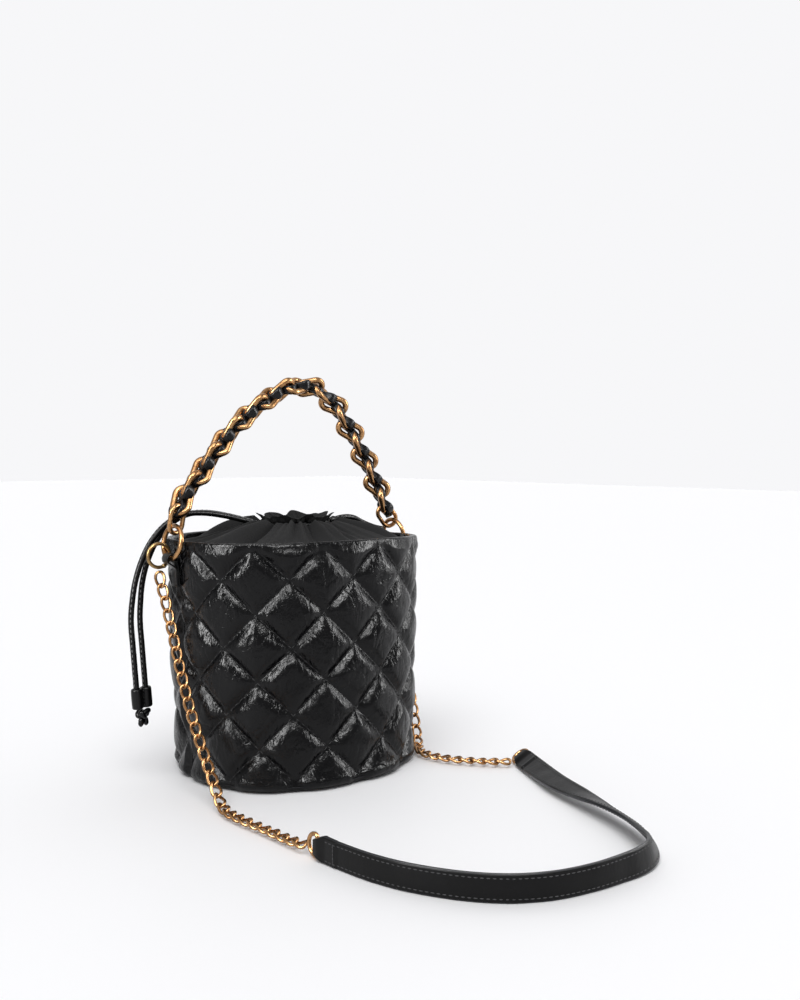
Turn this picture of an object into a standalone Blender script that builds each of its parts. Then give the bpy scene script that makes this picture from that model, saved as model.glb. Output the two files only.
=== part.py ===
"""A small quilted leather bucket bag with a woven chain handle, a drawstring top and a chain shoulder strap.

Run it in Blender: blender --background --python part.py
The frame: +X is the bag's right, -Y its front and +Z up. The origin is the centre of the base, on the floor.
"""

import math

import bmesh
import bpy
from mathutils import Matrix, Vector

MM = 0.001
GAP = 0.3 * MM                       # clearance kept between touching pieces

# Bag body: a superellipse in plan that widens slightly towards the rim
BAG_HEIGHT = 200 * MM
BASE_HALF_X = 103 * MM
BASE_HALF_Y = 94 * MM
TOP_HALF_X = 114 * MM
TOP_HALF_Y = 86 * MM
OUTLINE_POWER = 2.2
RIM_SAG = 4 * MM                     # how far the soft rim drops at the bag's right
WALL_THICKNESS = 4 * MM              # leather, foam and backing, quilted together
OUTLINE_STEPS = 20                   # sides in half an outline
BASE_THICKNESS = 2.4 * MM
BOARD_THICKNESS = 1.5 * MM
LINING_THICKNESS = 0.8 * MM
LINING_TOP = 163 * MM
FACING_THICKNESS = 1.5 * MM
FACING_TOP = 199.4 * MM

# Gathered closure: a cloth funnel, a neck and a ruffle above the cord
NECK_RADIUS = 26 * MM
NECK_HOLE_RADIUS = 8 * MM
NECK_LOW = 205.5 * MM
NECK_HIGH = 211.5 * MM
RUFFLE_RADIUS = 37 * MM
RUFFLE_TOP = 219 * MM
CLOSURE_LOW = 168 * MM
CLOTH_THICKNESS = 1.3 * MM

# Drawstring: a stitched round cord in a loop round the neck, two tails in a slider and a knot
CORD_DIAMETER = 4.8 * MM
CORD_STEP = 6 * MM                   # between the points of its centreline
TAIL_ROUTE = [(-31.5, 6, 209), (-42, 9, 212), (-58, 16, 216.5), (-75, 23, 219.5), (-91, 28, 219),
              (-106, 31, 212.5), (-119, 32, 200), (-129, 32, 183), (-136, 31.5, 163), (-139.5, 31, 142),
              (-140, 31, 128), (-138.9, 31, 113), (-137.8, 31, 98), (-136.7, 31, 83), (-135.6, 31, 68),
              (-134.8, 31, 57.1)]
REAR_TAIL_OFFSETS = [(1, 5.4, -0.5), (3, 6.2, 0), (4, 7, 0), (4.5, 6.5, 0), (4.5, 6, -0.5), (5, 5.5, -1.5),
                     (6, 5, -1.5), (7, 4.5, -1), (8.2, 4.2, 0), (9.2, 4, 0), (9.5, 4, 0), (9.5, 4, 0),
                     (9.5, 4, 0), (9.5, 4, 0), (9.5, 4, 0), (9.5, 4, 0)]
RIGHT_RUN_ROUTE = [(30.5, -8, 209.5), (38, -9.5, 212.5), (48, -9, 213.5), (58, -7, 212), (68, -4, 208),
                   (78, -1, 204.5), (88, 1, 201.5), (98, 2, 199.5)]
LOOP_START = 189                     # degrees round the neck from +X; the loop is open at the left
LOOP_END = 511
SLIDER_LENGTH = 17 * MM
SLIDER_TUBE_RADIUS = 4.7 * MM
SLIDER_BORE_RADIUS = 2.95 * MM
SLIDER_LOW = 57.6 * MM
BORE_MARGIN = 2 * MM                 # how far the bore cutters run past the slider's ends
KNOT_SIZE = (9.5 * MM, 6 * MM, 4.8 * MM)
KNOT_STUB_LENGTH = 6 * MM
KNOT_STUB_SHARES = (0.45, 0.4)       # how wide and deep the cut ends are, as shares of the knot's half sizes

# Side tabs and big rings; the handle turns about the line through the two ring centres
RING_RADIUS = 13.6 * MM
RING_WIRE = 4 * MM
LEFT_RING_FOOT = Vector((-118.8, 0, 184.9)) * MM     # the middle of the wire at each ring's lowest point
RIGHT_RING_FOOT = Vector((119.4, 12, 180.4)) * MM
RING_TURN = math.radians(3)          # how far each ring is turned about the vertical from square to that line
RING_LEAN = math.radians(10)         # how far the top of each ring leans in over the rim
TAB_WIDTH = 10 * MM
TAB_LAYER = 1.3 * MM
TAB_LOOP_RADIUS = 4.4 * MM           # of the middle of the leather, round the ring's wire
TAB_LOW = 162 * MM
TAB_SHOULDER = 1.9                   # loop radii from the wire's middle down to where the two layers meet
TAB_LOOP_START = -35                 # degrees, from straight outwards, where the outer layer leaves the wire
TAB_LOOP_TURN = 250

# Handle: links joined in a chain along an arch, with a leather lace woven through them
HANDLE_ROUTE = [(0, 0), (2.5, 14), (9, 27.5), (19, 40), (30, 54), (44, 71), (58, 86), (73, 98.5), (89, 109.5),
                (106, 119), (123, 123.5), (140, 121.5), (155, 113.5), (168, 101), (180, 85), (192, 67), (203, 48.5),
                (212.5, 31), (220, 15), (226, 3.5), (230.5, -4.5)]
HOOK_GAP = 0.4 * MM                  # between an end link and its ring
LINK_COUNT = 23
LINK_WIRE = 4.5 * MM
LINK_LENGTH = 23.1 * MM              # between the middles of the wire's ends
LINK_WIDTH = 12.8 * MM
# Roll, tilt and yaw of the links, in degrees: even and odd links lie differently, so that each clears the next
LINK_TURNS = [(30.7, 22.7, 22.4), (136.2, 6.0, -19.4)]
END_LINK_WIDTH = 14.2 * MM
# The two end links have their own turns, and shifts along, to the front and outwards, to clear the rings too
END_LINKS = {0: ((18.2, 7, 7), (-1.35, 1.8, -0.1)), 22: ((16.6, 12.9, -0.7), (2.1, -2.84, 0.26))}
LACE_DIAMETER = 3 * MM
LACE_SWAY = 7.2 * MM                 # how far the lace bulges out between links
LACE_STEPS = 4                       # points of the lace for each link

# Ring clasps that hold the shoulder strap on the big rings
CLASP_RADIUS = 9.7 * MM
CLASP_WIRE = 3 * MM
CLASP_GATE_WIRE = 2.2 * MM
CLASP_GATE_MIDDLE = 122              # degrees from the clasp's top, towards the bag
CLASP_GATE_HALF_ANGLE = 31
CLASP_HINGE_GAP = 0.7 * MM
CLASP_TIP_GAP = 1.4 * MM
CLASP_OFFSET = Vector((8.49, 7.5, -10.9)) * MM    # of its centre from the ring's: outwards, along the wall and up
CLASP_YAW = math.radians(2.7)

# Shoulder strap: a chain at each end and a folded leather strap between two D rings
CHAIN_DIAMETER = 8 * MM
CHAIN_STEP = 9 * MM
STRAP_WIDTH = 17.5 * MM
STRAP_LAYER = 1.25 * MM
STRAP_LOOP_RADIUS = 2.9 * MM
STRAP_STEP = 10                      # millimetres between the points of its outline
STRAP_LOOP_TURN = 125                # degrees round a D ring's bar, each way from the strap's end
STRAP_LOOP_STEPS = 8
STRAP_END_TAPER = 8 * MM
STRAP_END_WIDTH = 0.64               # of the strap's width, where it goes round a D ring
D_RING_HEIGHT = 14.8 * MM
D_RING_DEPTH = 9.5 * MM
D_RING_CORNER = 2.2 * MM
D_RING_WIRE = 3 * MM
D_RING_CORNER_STEPS = 4
D_RING_BOW_STEPS = 10
LEFT_CHAIN_ROUTE = [(-124.9, 7.5, 175.2), (-123.8, 7.5, 165), (-121, 5.5, 152), (-119.5, 1, 136),
                    (-118, -4.5, 119), (-117, -11, 101), (-116, -19, 83), (-115.5, -29, 65), (-115, -41, 47.5),
                    (-115, -55, 31), (-116, -70, 16.5), (-118, -84, 7), (-120, -98, 4.4), (-119.5, -114, 4.3),
                    (-117, -133, 4.3), (-114, -153, 4.3), (-111.5, -173, 4.3), (-109.5, -193.9, 6)]
RIGHT_CHAIN_ROUTE = [(125.5, 4.5, 170.7), (124.2, 4.7, 160), (121.3, 4, 145), (119, 1, 126), (117, -3, 107),
                     (115.5, -8, 87), (114, -14, 67), (112.5, -21, 47), (110.5, -29, 28), (107, -37.5, 13),
                     (102, -46, 6), (95, -56, 4.4), (89.5, -68, 4.3), (90.5, -83, 4.3), (97, -99, 4.3),
                     (107, -112, 4.3), (119, -125, 4.3), (133, -137.5, 4.6)]
# The leather strap's middle line on the floor: x, y, height and how far its top leans to its left, in degrees.
# It stands on edge at the front and twists over on its way to the right end.
STRAP_ROUTE = [(-108, -205.5, 9, 0), (-107, -218, 9, 0), (-105, -233, 9, 0), (-100, -256, 9, 0),
               (-91.5, -279, 9, 0), (-79, -301, 9, 0), (-64, -320, 9, 0), (-46, -335, 9, 0), (-24, -345.5, 9, 0),
               (2, -351, 9, 0), (28, -352.5, 9, 4), (44, -352, 9.3, 10), (58, -349, 9.8, 14),
               (69.5, -341.5, 9.8, 24), (78, -330.5, 9.8, 38), (85.5, -318, 9.8, 49), (92, -305, 9.8, 56),
               (97, -291, 9.6, 60), (101, -277, 9.3, 65), (104.5, -263, 9, 73), (107.5, -249, 8.8, 84),
               (110.5, -235, 8.5, 95), (113.5, -220, 8.3, 102), (118, -204, 8, 107), (124.5, -187, 7.4, 112),
               (132, -168, 7, 119), (139, -151, 6.6, 125), (145, -137, 6.6, 126)]

LEATHER = ("bag_leather", (0.012, 0.012, 0.014, 1), 0.32, 0.0)
LINING_CLOTH = ("lining_cloth", (0.02, 0.02, 0.022, 1), 0.9, 0.0)
BOARD = ("base_board", (0.2, 0.16, 0.12, 1), 0.8, 0.0)
GOLD = ("antique_gold", (0.62, 0.42, 0.2, 1), 0.28, 1.0)


def clear_scene():
    for item in list(bpy.data.objects):
        bpy.data.objects.remove(item, do_unlink=True)


def material(finish):
    name, colour, roughness, metallic = finish
    made = bpy.data.materials.get(name)
    if made is None:
        made = bpy.data.materials.new(name)
        made.use_nodes = True
        shader = made.node_tree.nodes["Principled BSDF"]
        shader.inputs["Base Color"].default_value = colour
        shader.inputs["Roughness"].default_value = roughness
        shader.inputs["Metallic"].default_value = metallic
    return made


def add_solid(name, points, faces, finish):
    """One closed body from points and faces, with its faces turned outwards."""
    mesh = bpy.data.meshes.new(name)
    mesh.from_pydata([tuple(p) for p in points], [], faces)
    body = bmesh.new()
    body.from_mesh(mesh)
    bmesh.ops.recalc_face_normals(body, faces=body.faces)
    body.to_mesh(mesh)
    body.free()
    mesh.shade_smooth()
    mesh.set_sharp_from_angle(angle=math.radians(35))
    mesh.materials.append(material(finish))
    solid = bpy.data.objects.new(name, mesh)
    bpy.context.collection.objects.link(solid)
    return solid


def join_rings(rings, ring_closed, row_closed):
    """Faces between rows of points; each row has the same number of points."""
    count = len(rings[0])
    faces = []
    for i in range(len(rings) if row_closed else len(rings) - 1):
        low = i * count
        high = (i + 1) % len(rings) * count
        for j in range(count if ring_closed else count - 1):
            k = (j + 1) % count
            faces.append((low + j, low + k, high + k, high + j))
    return faces


def sweep(name, centres, sides, ups, section, closed, finish):
    """A solid made by carrying a flat section along a line, with a side and an up direction at each point."""
    rings = [[c + a * s + b * u for a, b in section] for c, s, u in zip(centres, sides, ups)]
    faces = join_rings(rings, True, closed)
    if not closed:
        count = len(section)
        faces.append(tuple(range(count)))
        faces.append(tuple(range((len(rings) - 1) * count, len(rings) * count)))
    return add_solid(name, [p for ring in rings for p in ring], faces, finish)


def circle_section(radius, sides):
    return [(radius * math.cos(2 * math.pi * i / sides), radius * math.sin(2 * math.pi * i / sides))
            for i in range(sides)]


def spline(points, step):
    """Evenly spaced points on a smooth curve through the given ones."""
    ends = [2 * points[0] - points[1]] + list(points) + [2 * points[-1] - points[-2]]
    fine = []
    for p0, p1, p2, p3 in zip(ends, ends[1:], ends[2:], ends[3:]):
        for i in range(12):
            t = i / 12
            fine.append(0.5 * (2 * p1 + (p2 - p0) * t + (2 * p0 - 5 * p1 + 4 * p2 - p3) * t * t
                               + (3 * p1 - p0 - 3 * p2 + p3) * t ** 3))
    fine.append(Vector(points[-1]))
    lengths = distances(fine)
    count = max(2, round(lengths[-1] / step))
    return [point_at(fine, lengths, lengths[-1] * i / count) for i in range(count + 1)]


def point_at(line, lengths, distance):
    for i in range(1, len(line)):
        if lengths[i] >= distance or i == len(line) - 1:
            share = (distance - lengths[i - 1]) / (lengths[i] - lengths[i - 1])
            return line[i - 1].lerp(line[i], share)


def route(points):
    """A hand-made list of points in millimetres, in metres."""
    return [Vector(p) * MM for p in points]


# ---------------------------------------------------------------- the bag's body

def half_axes(z):
    share = z / BAG_HEIGHT
    return (BASE_HALF_X + (TOP_HALF_X - BASE_HALF_X) * share,
            BASE_HALF_Y + (TOP_HALF_Y - BASE_HALF_Y) * share)


def outline_point(angle, z, inset):
    """A point on the bag's outline at a height, moved inwards by inset. Angle 0 is +X and 270 degrees the front."""
    half_x, half_y = half_axes(z)
    c, s = math.cos(angle), math.sin(angle)
    power = 2 / OUTLINE_POWER
    sag = RIM_SAG * (z / BAG_HEIGHT) ** 3 * max(0, c) ** 2
    return Vector(((half_x - inset) * math.copysign(abs(c) ** power, c),
                   (half_y - inset) * math.copysign(abs(s) ** power, s), z - sag))


def outline_ring(z, inset, steps=2 * OUTLINE_STEPS):
    return [outline_point(2 * math.pi * i / steps, z, inset) for i in range(steps)]


# The outer side of the wall: height and inset in millimetres, rolled at the base and turned over at the rim
WALL_PROFILE = [(0, 2.8), (1.2, 1.3), (3.5, 0.3), (7, 0), (70, 0), (140, 0), (195, 0), (198, 0.4), (199.5, 1.2),
                (200, 2.2)]


def quilted_panel(name, first_angle):
    """Half of the side wall, from side seam to side seam, rounded at the base and over the rim."""
    seam = GAP / 2 / TOP_HALF_X
    angles = [first_angle + seam + (math.pi - 2 * seam) * i / OUTLINE_STEPS for i in range(OUTLINE_STEPS + 1)]
    outer = [(z * MM, inset * MM) for z, inset in WALL_PROFILE]
    inner = [(BAG_HEIGHT * share, WALL_THICKNESS) for share in (1, 0.8, 0.6, 0.4, 0.2, 0)]
    rings = [[outline_point(a, z, inset) for z, inset in outer + inner] for a in angles]
    faces = join_rings(rings, True, False)
    count = len(rings[0])
    faces.append(tuple(range(count)))
    faces.append(tuple(range((len(rings) - 1) * count, len(rings) * count)))
    return add_solid(name, [p for ring in rings for p in ring], faces, LEATHER)


def plate(name, low, thickness, inset, finish):
    rings = [outline_ring(low, inset), outline_ring(low + thickness, inset)]
    count = len(rings[0])
    faces = join_rings(rings, True, False) + [tuple(range(count)), tuple(range(count, 2 * count))]
    return add_solid(name, [p for ring in rings for p in ring], faces, finish)


def ring_wall(name, profile, finish):
    """A closed ring all round the bag, turned from a profile of (height, inset)."""
    rings = [outline_ring(z, inset) for z, inset in profile]
    return add_solid(name, [p for ring in rings for p in ring], join_rings(rings, True, True), finish)


def make_lining():
    outer_inset = WALL_THICKNESS + GAP
    inner_inset = outer_inset + LINING_THICKNESS
    low = BASE_THICKNESS + BOARD_THICKNESS + 2 * GAP
    middle = [BAG_HEIGHT * share for share in (0.2, 0.4, 0.6)]
    rings = [outline_ring(z, outer_inset) for z in [low] + middle + [LINING_TOP]]
    rings += [outline_ring(z, inner_inset) for z in [LINING_TOP] + middle[::-1] + [low + LINING_THICKNESS]]
    count = len(rings[0])
    faces = join_rings(rings, True, False)
    faces += [tuple(range(count)), tuple(range((len(rings) - 1) * count, len(rings) * count))]
    return add_solid("lining", [p for ring in rings for p in ring], faces, LINING_CLOTH)


def make_facing():
    outer = WALL_THICKNESS + GAP
    inner = outer + FACING_THICKNESS
    low = LINING_TOP + GAP
    return ring_wall("rim_facing", [(low, outer), (FACING_TOP, outer), (FACING_TOP, inner), (low, inner)], LEATHER)


def funnel_ring(z, inset, neck_share, radius):
    """A ring between the bag's outline and a circle round the neck."""
    ring = []
    for p in outline_ring(min(z, BAG_HEIGHT), inset):
        angle = math.atan2(p.y, p.x)
        sag = min(z, BAG_HEIGHT) - p.z
        round_point = Vector((radius * math.cos(angle), radius * math.sin(angle), z))
        ring.append(Vector((p.x, p.y, z - sag)).lerp(round_point, neck_share))
    return ring


def make_closure():
    """The cloth that closes the bag: from the facing up and in to the neck, then out in a ruffle."""
    edge = WALL_THICKNESS + 2 * GAP + FACING_THICKNESS
    outer = [(CLOSURE_LOW, edge, 0, 0), (190 * MM, edge, 0, 0), (195 * MM, edge + 3 * MM, 0, 0),
             (199.5 * MM, edge, 0.35, NECK_RADIUS), (202.5 * MM, edge, 0.72, NECK_RADIUS),
             (NECK_LOW, edge, 1, NECK_RADIUS), (NECK_HIGH, edge, 1, NECK_RADIUS),
             (NECK_HIGH + 2.5 * MM, edge, 1, NECK_RADIUS + 6 * MM), (RUFFLE_TOP, edge, 1, RUFFLE_RADIUS)]
    inner = [(RUFFLE_TOP + MM, edge, 1, RUFFLE_RADIUS - 2 * MM), (NECK_HIGH + 4 * MM, edge, 1, NECK_RADIUS),
             (NECK_HIGH, edge, 1, NECK_HOLE_RADIUS), (NECK_LOW - 2 * MM, edge, 1, NECK_HOLE_RADIUS),
             (200.5 * MM, edge, 0.72, NECK_RADIUS), (196.5 * MM, edge + 2 * MM, 0.3, NECK_RADIUS),
             (188.5 * MM, edge + CLOTH_THICKNESS, 0, 0), (CLOSURE_LOW, edge + CLOTH_THICKNESS, 0, 0)]
    rings = [funnel_ring(*row) for row in outer + inner]
    points = [p for ring in rings for p in ring]
    return add_solid("gathered_closure", points, join_rings(rings, True, True), LINING_CLOTH)


# ---------------------------------------------------------------- cords

def cord(name, points, diameter, finish):
    """A round cord along points, as a curve with filled ends."""
    curve = bpy.data.curves.new(name, "CURVE")
    curve.dimensions = "3D"
    curve.bevel_depth = diameter / 2
    curve.bevel_resolution = 2
    curve.use_fill_caps = True
    line = curve.splines.new("POLY")
    line.points.add(len(points) - 1)
    for slot, p in zip(line.points, points):
        slot.co = (p.x, p.y, p.z, 1)
    curve.materials.append(material(finish))
    made = bpy.data.objects.new(name, curve)
    bpy.context.collection.objects.link(made)
    return made


def make_drawstring():
    radius = NECK_RADIUS + CORD_DIAMETER / 2 + GAP
    first, last = math.radians(LOOP_START), math.radians(LOOP_END)
    steps = 28
    middle = (NECK_LOW + NECK_HIGH) / 2
    loop = [Vector((radius * math.cos(a), radius * math.sin(a), middle))
            for a in (first + (last - first) * i / steps for i in range(steps + 1))]
    cord("drawstring_loop", loop, CORD_DIAMETER, LEATHER)
    front = route(TAIL_ROUTE)
    rear = [p + Vector(offset) * MM for p, offset in zip(front, REAR_TAIL_OFFSETS)]
    cord("drawstring_front_tail", spline(front, CORD_STEP), CORD_DIAMETER, LEATHER)
    cord("drawstring_rear_tail", spline(rear, CORD_STEP), CORD_DIAMETER, LEATHER)
    cord("drawstring_right_run", spline(route(RIGHT_RUN_ROUTE), CORD_STEP), CORD_DIAMETER, LEATHER)


def slide_frame():
    """The two tails' straight stretch: its upward direction and the points of both tails at the slider's foot."""
    low, high = Vector(TAIL_ROUTE[-2]) * MM, Vector(TAIL_ROUTE[-4]) * MM
    up = (high - low).normalized()
    front = low + up * ((SLIDER_LOW - low.z) / up.z)
    rear = front + Vector(REAR_TAIL_OFFSETS[-1]) * MM
    return up, front, rear


def make_slider():
    """Two leather tubes joined side by side on the tails; it runs up and down them."""
    up, front, rear = slide_frame()
    across = rear - front
    across -= up * across.dot(up)
    middle = front + across / 2
    reach = across.length / 2
    across.normalize()
    depth = up.cross(across)
    steps = 12
    outline = []
    for end, start in ((1, -90), (-1, 90)):
        for i in range(steps + 1):
            a = math.radians(start + 180 * i / steps)
            outline.append(across * (end * reach + SLIDER_TUBE_RADIUS * math.cos(a))
                           + depth * (SLIDER_TUBE_RADIUS * math.sin(a)))
    rings = [[middle + p for p in outline], [middle + p + up * SLIDER_LENGTH for p in outline]]
    count = len(outline)
    faces = join_rings(rings, True, False) + [tuple(range(count)), tuple(range(count, 2 * count))]
    slider = add_solid("drawstring_slider", rings[0] + rings[1], faces, LEATHER)
    for side in (-1, 1):
        low = middle + across * (side * reach) - up * BORE_MARGIN
        high = low + up * (SLIDER_LENGTH + 2 * BORE_MARGIN)
        word = "front" if side < 0 else "rear"
        cutter = cylinder(f"slider_bore_{word}", low, high, SLIDER_BORE_RADIUS, 16, LEATHER)
        cutter.hide_render = True
        cutter.display_type = "WIRE"
        cut = slider.modifiers.new("bore", "BOOLEAN")
        cut.operation = "DIFFERENCE"
        cut.object = cutter


def cylinder(name, low, high, radius, sides, finish):
    axis = (high - low).normalized()
    side = axis.orthogonal().normalized()
    up = axis.cross(side)
    return sweep(name, [low, high], [side, side], [up, up], circle_section(radius, sides), False, finish)


def make_knot():
    """The knot that stops the slider, with the two cut ends below it, as one lump."""
    up, front, rear = slide_frame()
    tails_end = TAIL_ROUTE[-1][2] * MM
    middle = (front + rear) / 2 - up * (SLIDER_LOW - tails_end + GAP + KNOT_SIZE[2])
    rows = 8
    steps = 14
    rings = []
    for i in range(1, rows):
        a = math.pi * i / rows
        rings.append([middle + Vector((KNOT_SIZE[0] * math.sin(a) * math.cos(b),
                                       KNOT_SIZE[1] * math.sin(a) * math.sin(b), KNOT_SIZE[2] * math.cos(a)))
                      for b in (2 * math.pi * j / steps for j in range(steps))])
    foot = middle - Vector((0, 0, KNOT_SIZE[2] + KNOT_STUB_LENGTH))
    wide, deep = (share * size for share, size in zip(KNOT_STUB_SHARES, KNOT_SIZE))
    rings.append([foot + Vector((wide * math.cos(b), deep * math.sin(b), 0))
                  for b in (2 * math.pi * j / steps for j in range(steps))])
    faces = join_rings(rings, True, False)
    faces += [tuple(range(steps)), tuple(range((rows - 1) * steps, rows * steps))]
    add_solid("drawstring_knot", [p for ring in rings for p in ring], faces, LEATHER)


# ---------------------------------------------------------------- rings, tabs and clasps

def ring_frame(side):
    """A big ring's centre and two directions in its plane, level and up. Side is -1 for the left and 1 for the right."""
    foot = LEFT_RING_FOOT if side < 0 else RIGHT_RING_FOOT
    across = RIGHT_RING_FOOT - LEFT_RING_FOOT
    flat = Matrix.Rotation(RING_TURN, 3, "Z") @ Vector((across.x, across.y, 0)).normalized()
    level = Vector((0, 0, 1)).cross(flat)
    up = Vector((0, 0, math.cos(RING_LEAN))) - side * math.sin(RING_LEAN) * flat
    return foot + RING_RADIUS * up, level, up


HANDLE_AXIS = (ring_frame(1)[0] - ring_frame(-1)[0]).normalized()


def arc_tube(name, centre, level, up, radius, wire, start, end, steps, sides, finish):
    """A round wire bent along an arc, or into a whole ring, in the plane of level and up. Angle 0 is at the top."""
    whole = abs(end - start - 2 * math.pi) < 1e-6
    angles = [start + (end - start) * i / steps for i in range(steps if whole else steps + 1)]
    outward = [level * math.sin(a) + up * math.cos(a) for a in angles]
    normal = level.cross(up)
    return sweep(name, [centre + radius * d for d in outward], outward, [normal] * len(angles),
                 circle_section(wire / 2, sides), whole, finish)


def make_ring(side, name):
    centre, level, up = ring_frame(side)
    arc_tube(name, centre, level, up, RING_RADIUS, RING_WIRE, 0, 2 * math.pi, 24, 8, GOLD)


def make_tab(side, name):
    """A leather strip sewn on the side seam, doubled and looped round the ring's wire."""
    centre, level, up = ring_frame(side)
    wire = centre - up * RING_RADIUS
    out = Vector((side, 0, 0))
    wall = half_axes(wire.z)[0] + GAP + TAB_LAYER / 2
    inner_low = Vector((side * (half_axes(TAB_LOW)[0] + GAP + TAB_LAYER / 2), wire.y, TAB_LOW))
    shoulder = wire.z - TAB_LOOP_RADIUS * TAB_SHOULDER
    inner_high = Vector((side * (half_axes(shoulder)[0] + GAP + TAB_LAYER / 2), wire.y, shoulder))
    between = out * (TAB_LAYER + GAP)
    steps = 12
    # from the foot of the outer layer up, over the wire from outside to the wall, and down the inner layer
    line = [inner_low + between, inner_high + between]
    for i in range(steps + 1):
        a = math.radians(TAB_LOOP_START + TAB_LOOP_TURN * i / steps)
        line.append(Vector((wire.x, wire.y, wire.z)) + out * (TAB_LOOP_RADIUS * math.cos(a))
                    + Vector((0, 0, TAB_LOOP_RADIUS * math.sin(a))))
    line = [p for p in line if abs(p.x) > wall - 1e-5 or p.z > wire.z]
    line += [inner_high, inner_low]
    tangents = [(b - a).normalized() for a, b in zip([line[0]] + line[:-1], line[1:] + [line[-1]])]
    width = Vector((0, 1, 0))
    sides = [width.cross(t).normalized() for t in tangents]
    half = TAB_LAYER / 2
    section = [(-half, -TAB_WIDTH / 2), (half, -TAB_WIDTH / 2), (half, TAB_WIDTH / 2), (-half, TAB_WIDTH / 2)]
    sweep(name, line, sides, [width] * len(line), section, False, LEATHER)


def clasp_frame(side):
    """A clasp's centre and its two in-plane directions; the first points to the bag."""
    centre = ring_frame(side)[0] + Vector((side * CLASP_OFFSET.x, -side * CLASP_OFFSET.y, CLASP_OFFSET.z))
    inward = -side * Vector((math.cos(CLASP_YAW), math.sin(CLASP_YAW), 0))
    return centre, inward, Vector((0, 0, 1))


def make_clasp(side, name):
    """A ring clasp with its gate. The gate is hinged at its upper end and opens into the clasp."""
    centre, inward, up = clasp_frame(side)
    start = math.radians(CLASP_GATE_MIDDLE - CLASP_GATE_HALF_ANGLE)
    end = math.radians(CLASP_GATE_MIDDLE + CLASP_GATE_HALF_ANGLE)
    arc_tube(name, centre, inward, up, CLASP_RADIUS, CLASP_WIRE, end, start + 2 * math.pi, 20, 8, GOLD)
    arc_tube(f"{name}_gate", centre, inward, up, CLASP_RADIUS, CLASP_GATE_WIRE, start + CLASP_HINGE_GAP / CLASP_RADIUS,
             end - CLASP_TIP_GAP / CLASP_RADIUS, 6, 8, GOLD)


# ---------------------------------------------------------------- handle

def stadium(length, width, arc_steps):
    """Points round a long link, each with its outward direction, as pairs of numbers along and across the link."""
    radius = width / 2
    reach = (length - width) / 2
    points = []
    for end in (1, -1):
        for i in range(arc_steps + 1):
            a = math.radians(-90 + 180 * i / arc_steps) + (0 if end > 0 else math.pi)
            outward = (math.cos(a), math.sin(a))
            points.append(((end * reach + radius * outward[0], radius * outward[1]), outward))
    return points


def link(name, centre, along, across, length, width, wire, arc_steps, sides, finish):
    """A closed link of round wire."""
    normal = along.cross(across)
    shape = stadium(length, width, arc_steps)
    centres = [centre + along * p[0] + across * p[1] for p, _ in shape]
    outward = [along * o[0] + across * o[1] for _, o in shape]
    return sweep(name, centres, outward, [normal] * len(centres), circle_section(wire / 2, sides), True, finish)


def handle_line():
    """The handle's middle line, from inside the left ring to inside the right one, as closely spaced points."""
    flat = Vector((HANDLE_AXIS.x, HANDLE_AXIS.y, 0)).normalized()
    hook = RING_RADIUS - RING_WIRE / 2 - LINK_WIRE / 2 - HOOK_GAP
    centre, _, up = ring_frame(-1)
    start = centre + hook * up
    return spline([start + flat * s * MM + Vector((0, 0, z * MM)) for s, z in HANDLE_ROUTE], 0.5 * MM)


def distances(line):
    lengths = [0.0]
    for a, b in zip(line, line[1:]):
        lengths.append(lengths[-1] + (b - a).length)
    return lengths


def handle_frame(line, lengths, distance):
    """A point on the handle's middle line, and the directions along it, to the front and outwards."""
    reach = 2 * MM
    along = (point_at(line, lengths, min(distance + reach, lengths[-1]))
             - point_at(line, lengths, max(distance - reach, 0))).normalized()
    front = -Vector((0, 0, 1)).cross(HANDLE_AXIS).normalized()
    return point_at(line, lengths, distance), along, front, front.cross(along).normalized()


def turned(along, front, outward, turns):
    """A link's long and cross directions, after its roll, tilt and yaw in degrees."""
    roll, tilt, yaw = (math.radians(a) for a in turns)
    turn = Matrix.Rotation(-tilt, 3, "Y") @ Matrix.Rotation(yaw, 3, "Z")
    directions = []
    for v in (turn @ Vector((1, 0, 0)), turn @ Vector((0, math.sin(roll), math.cos(roll)))):
        directions.append(along * v.x + front * v.y + outward * v.z)
    return directions


def make_handle():
    line = handle_line()
    lengths = distances(line)
    pitch = (lengths[-1] - LINK_LENGTH) / (LINK_COUNT - 1)
    for i in range(LINK_COUNT):
        here, along, front, outward = handle_frame(line, lengths, LINK_LENGTH / 2 + pitch * i)
        turns, shift = END_LINKS.get(i, (LINK_TURNS[i % 2], (0, 0, 0)))
        here += (along * shift[0] + front * shift[1] + outward * shift[2]) * MM
        length_axis, width_axis = turned(along, front, outward, turns)
        width = END_LINK_WIDTH if i in END_LINKS else LINK_WIDTH
        link(f"handle_link_{i + 1:02d}", here, length_axis, width_axis, LINK_LENGTH, width, LINK_WIRE, 5, 6, GOLD)
    points = []
    for i in range(LACE_STEPS * (LINK_COUNT - 2) + 1):
        share = 0.5 + i / LACE_STEPS
        here, _, front, _ = handle_frame(line, lengths, LINK_LENGTH / 2 + pitch * share)
        points.append(here - front * (LACE_SWAY * math.sin(math.pi * share)))
    cord("handle_lace", points, LACE_DIAMETER, LEATHER)


# ---------------------------------------------------------------- shoulder strap

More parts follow.
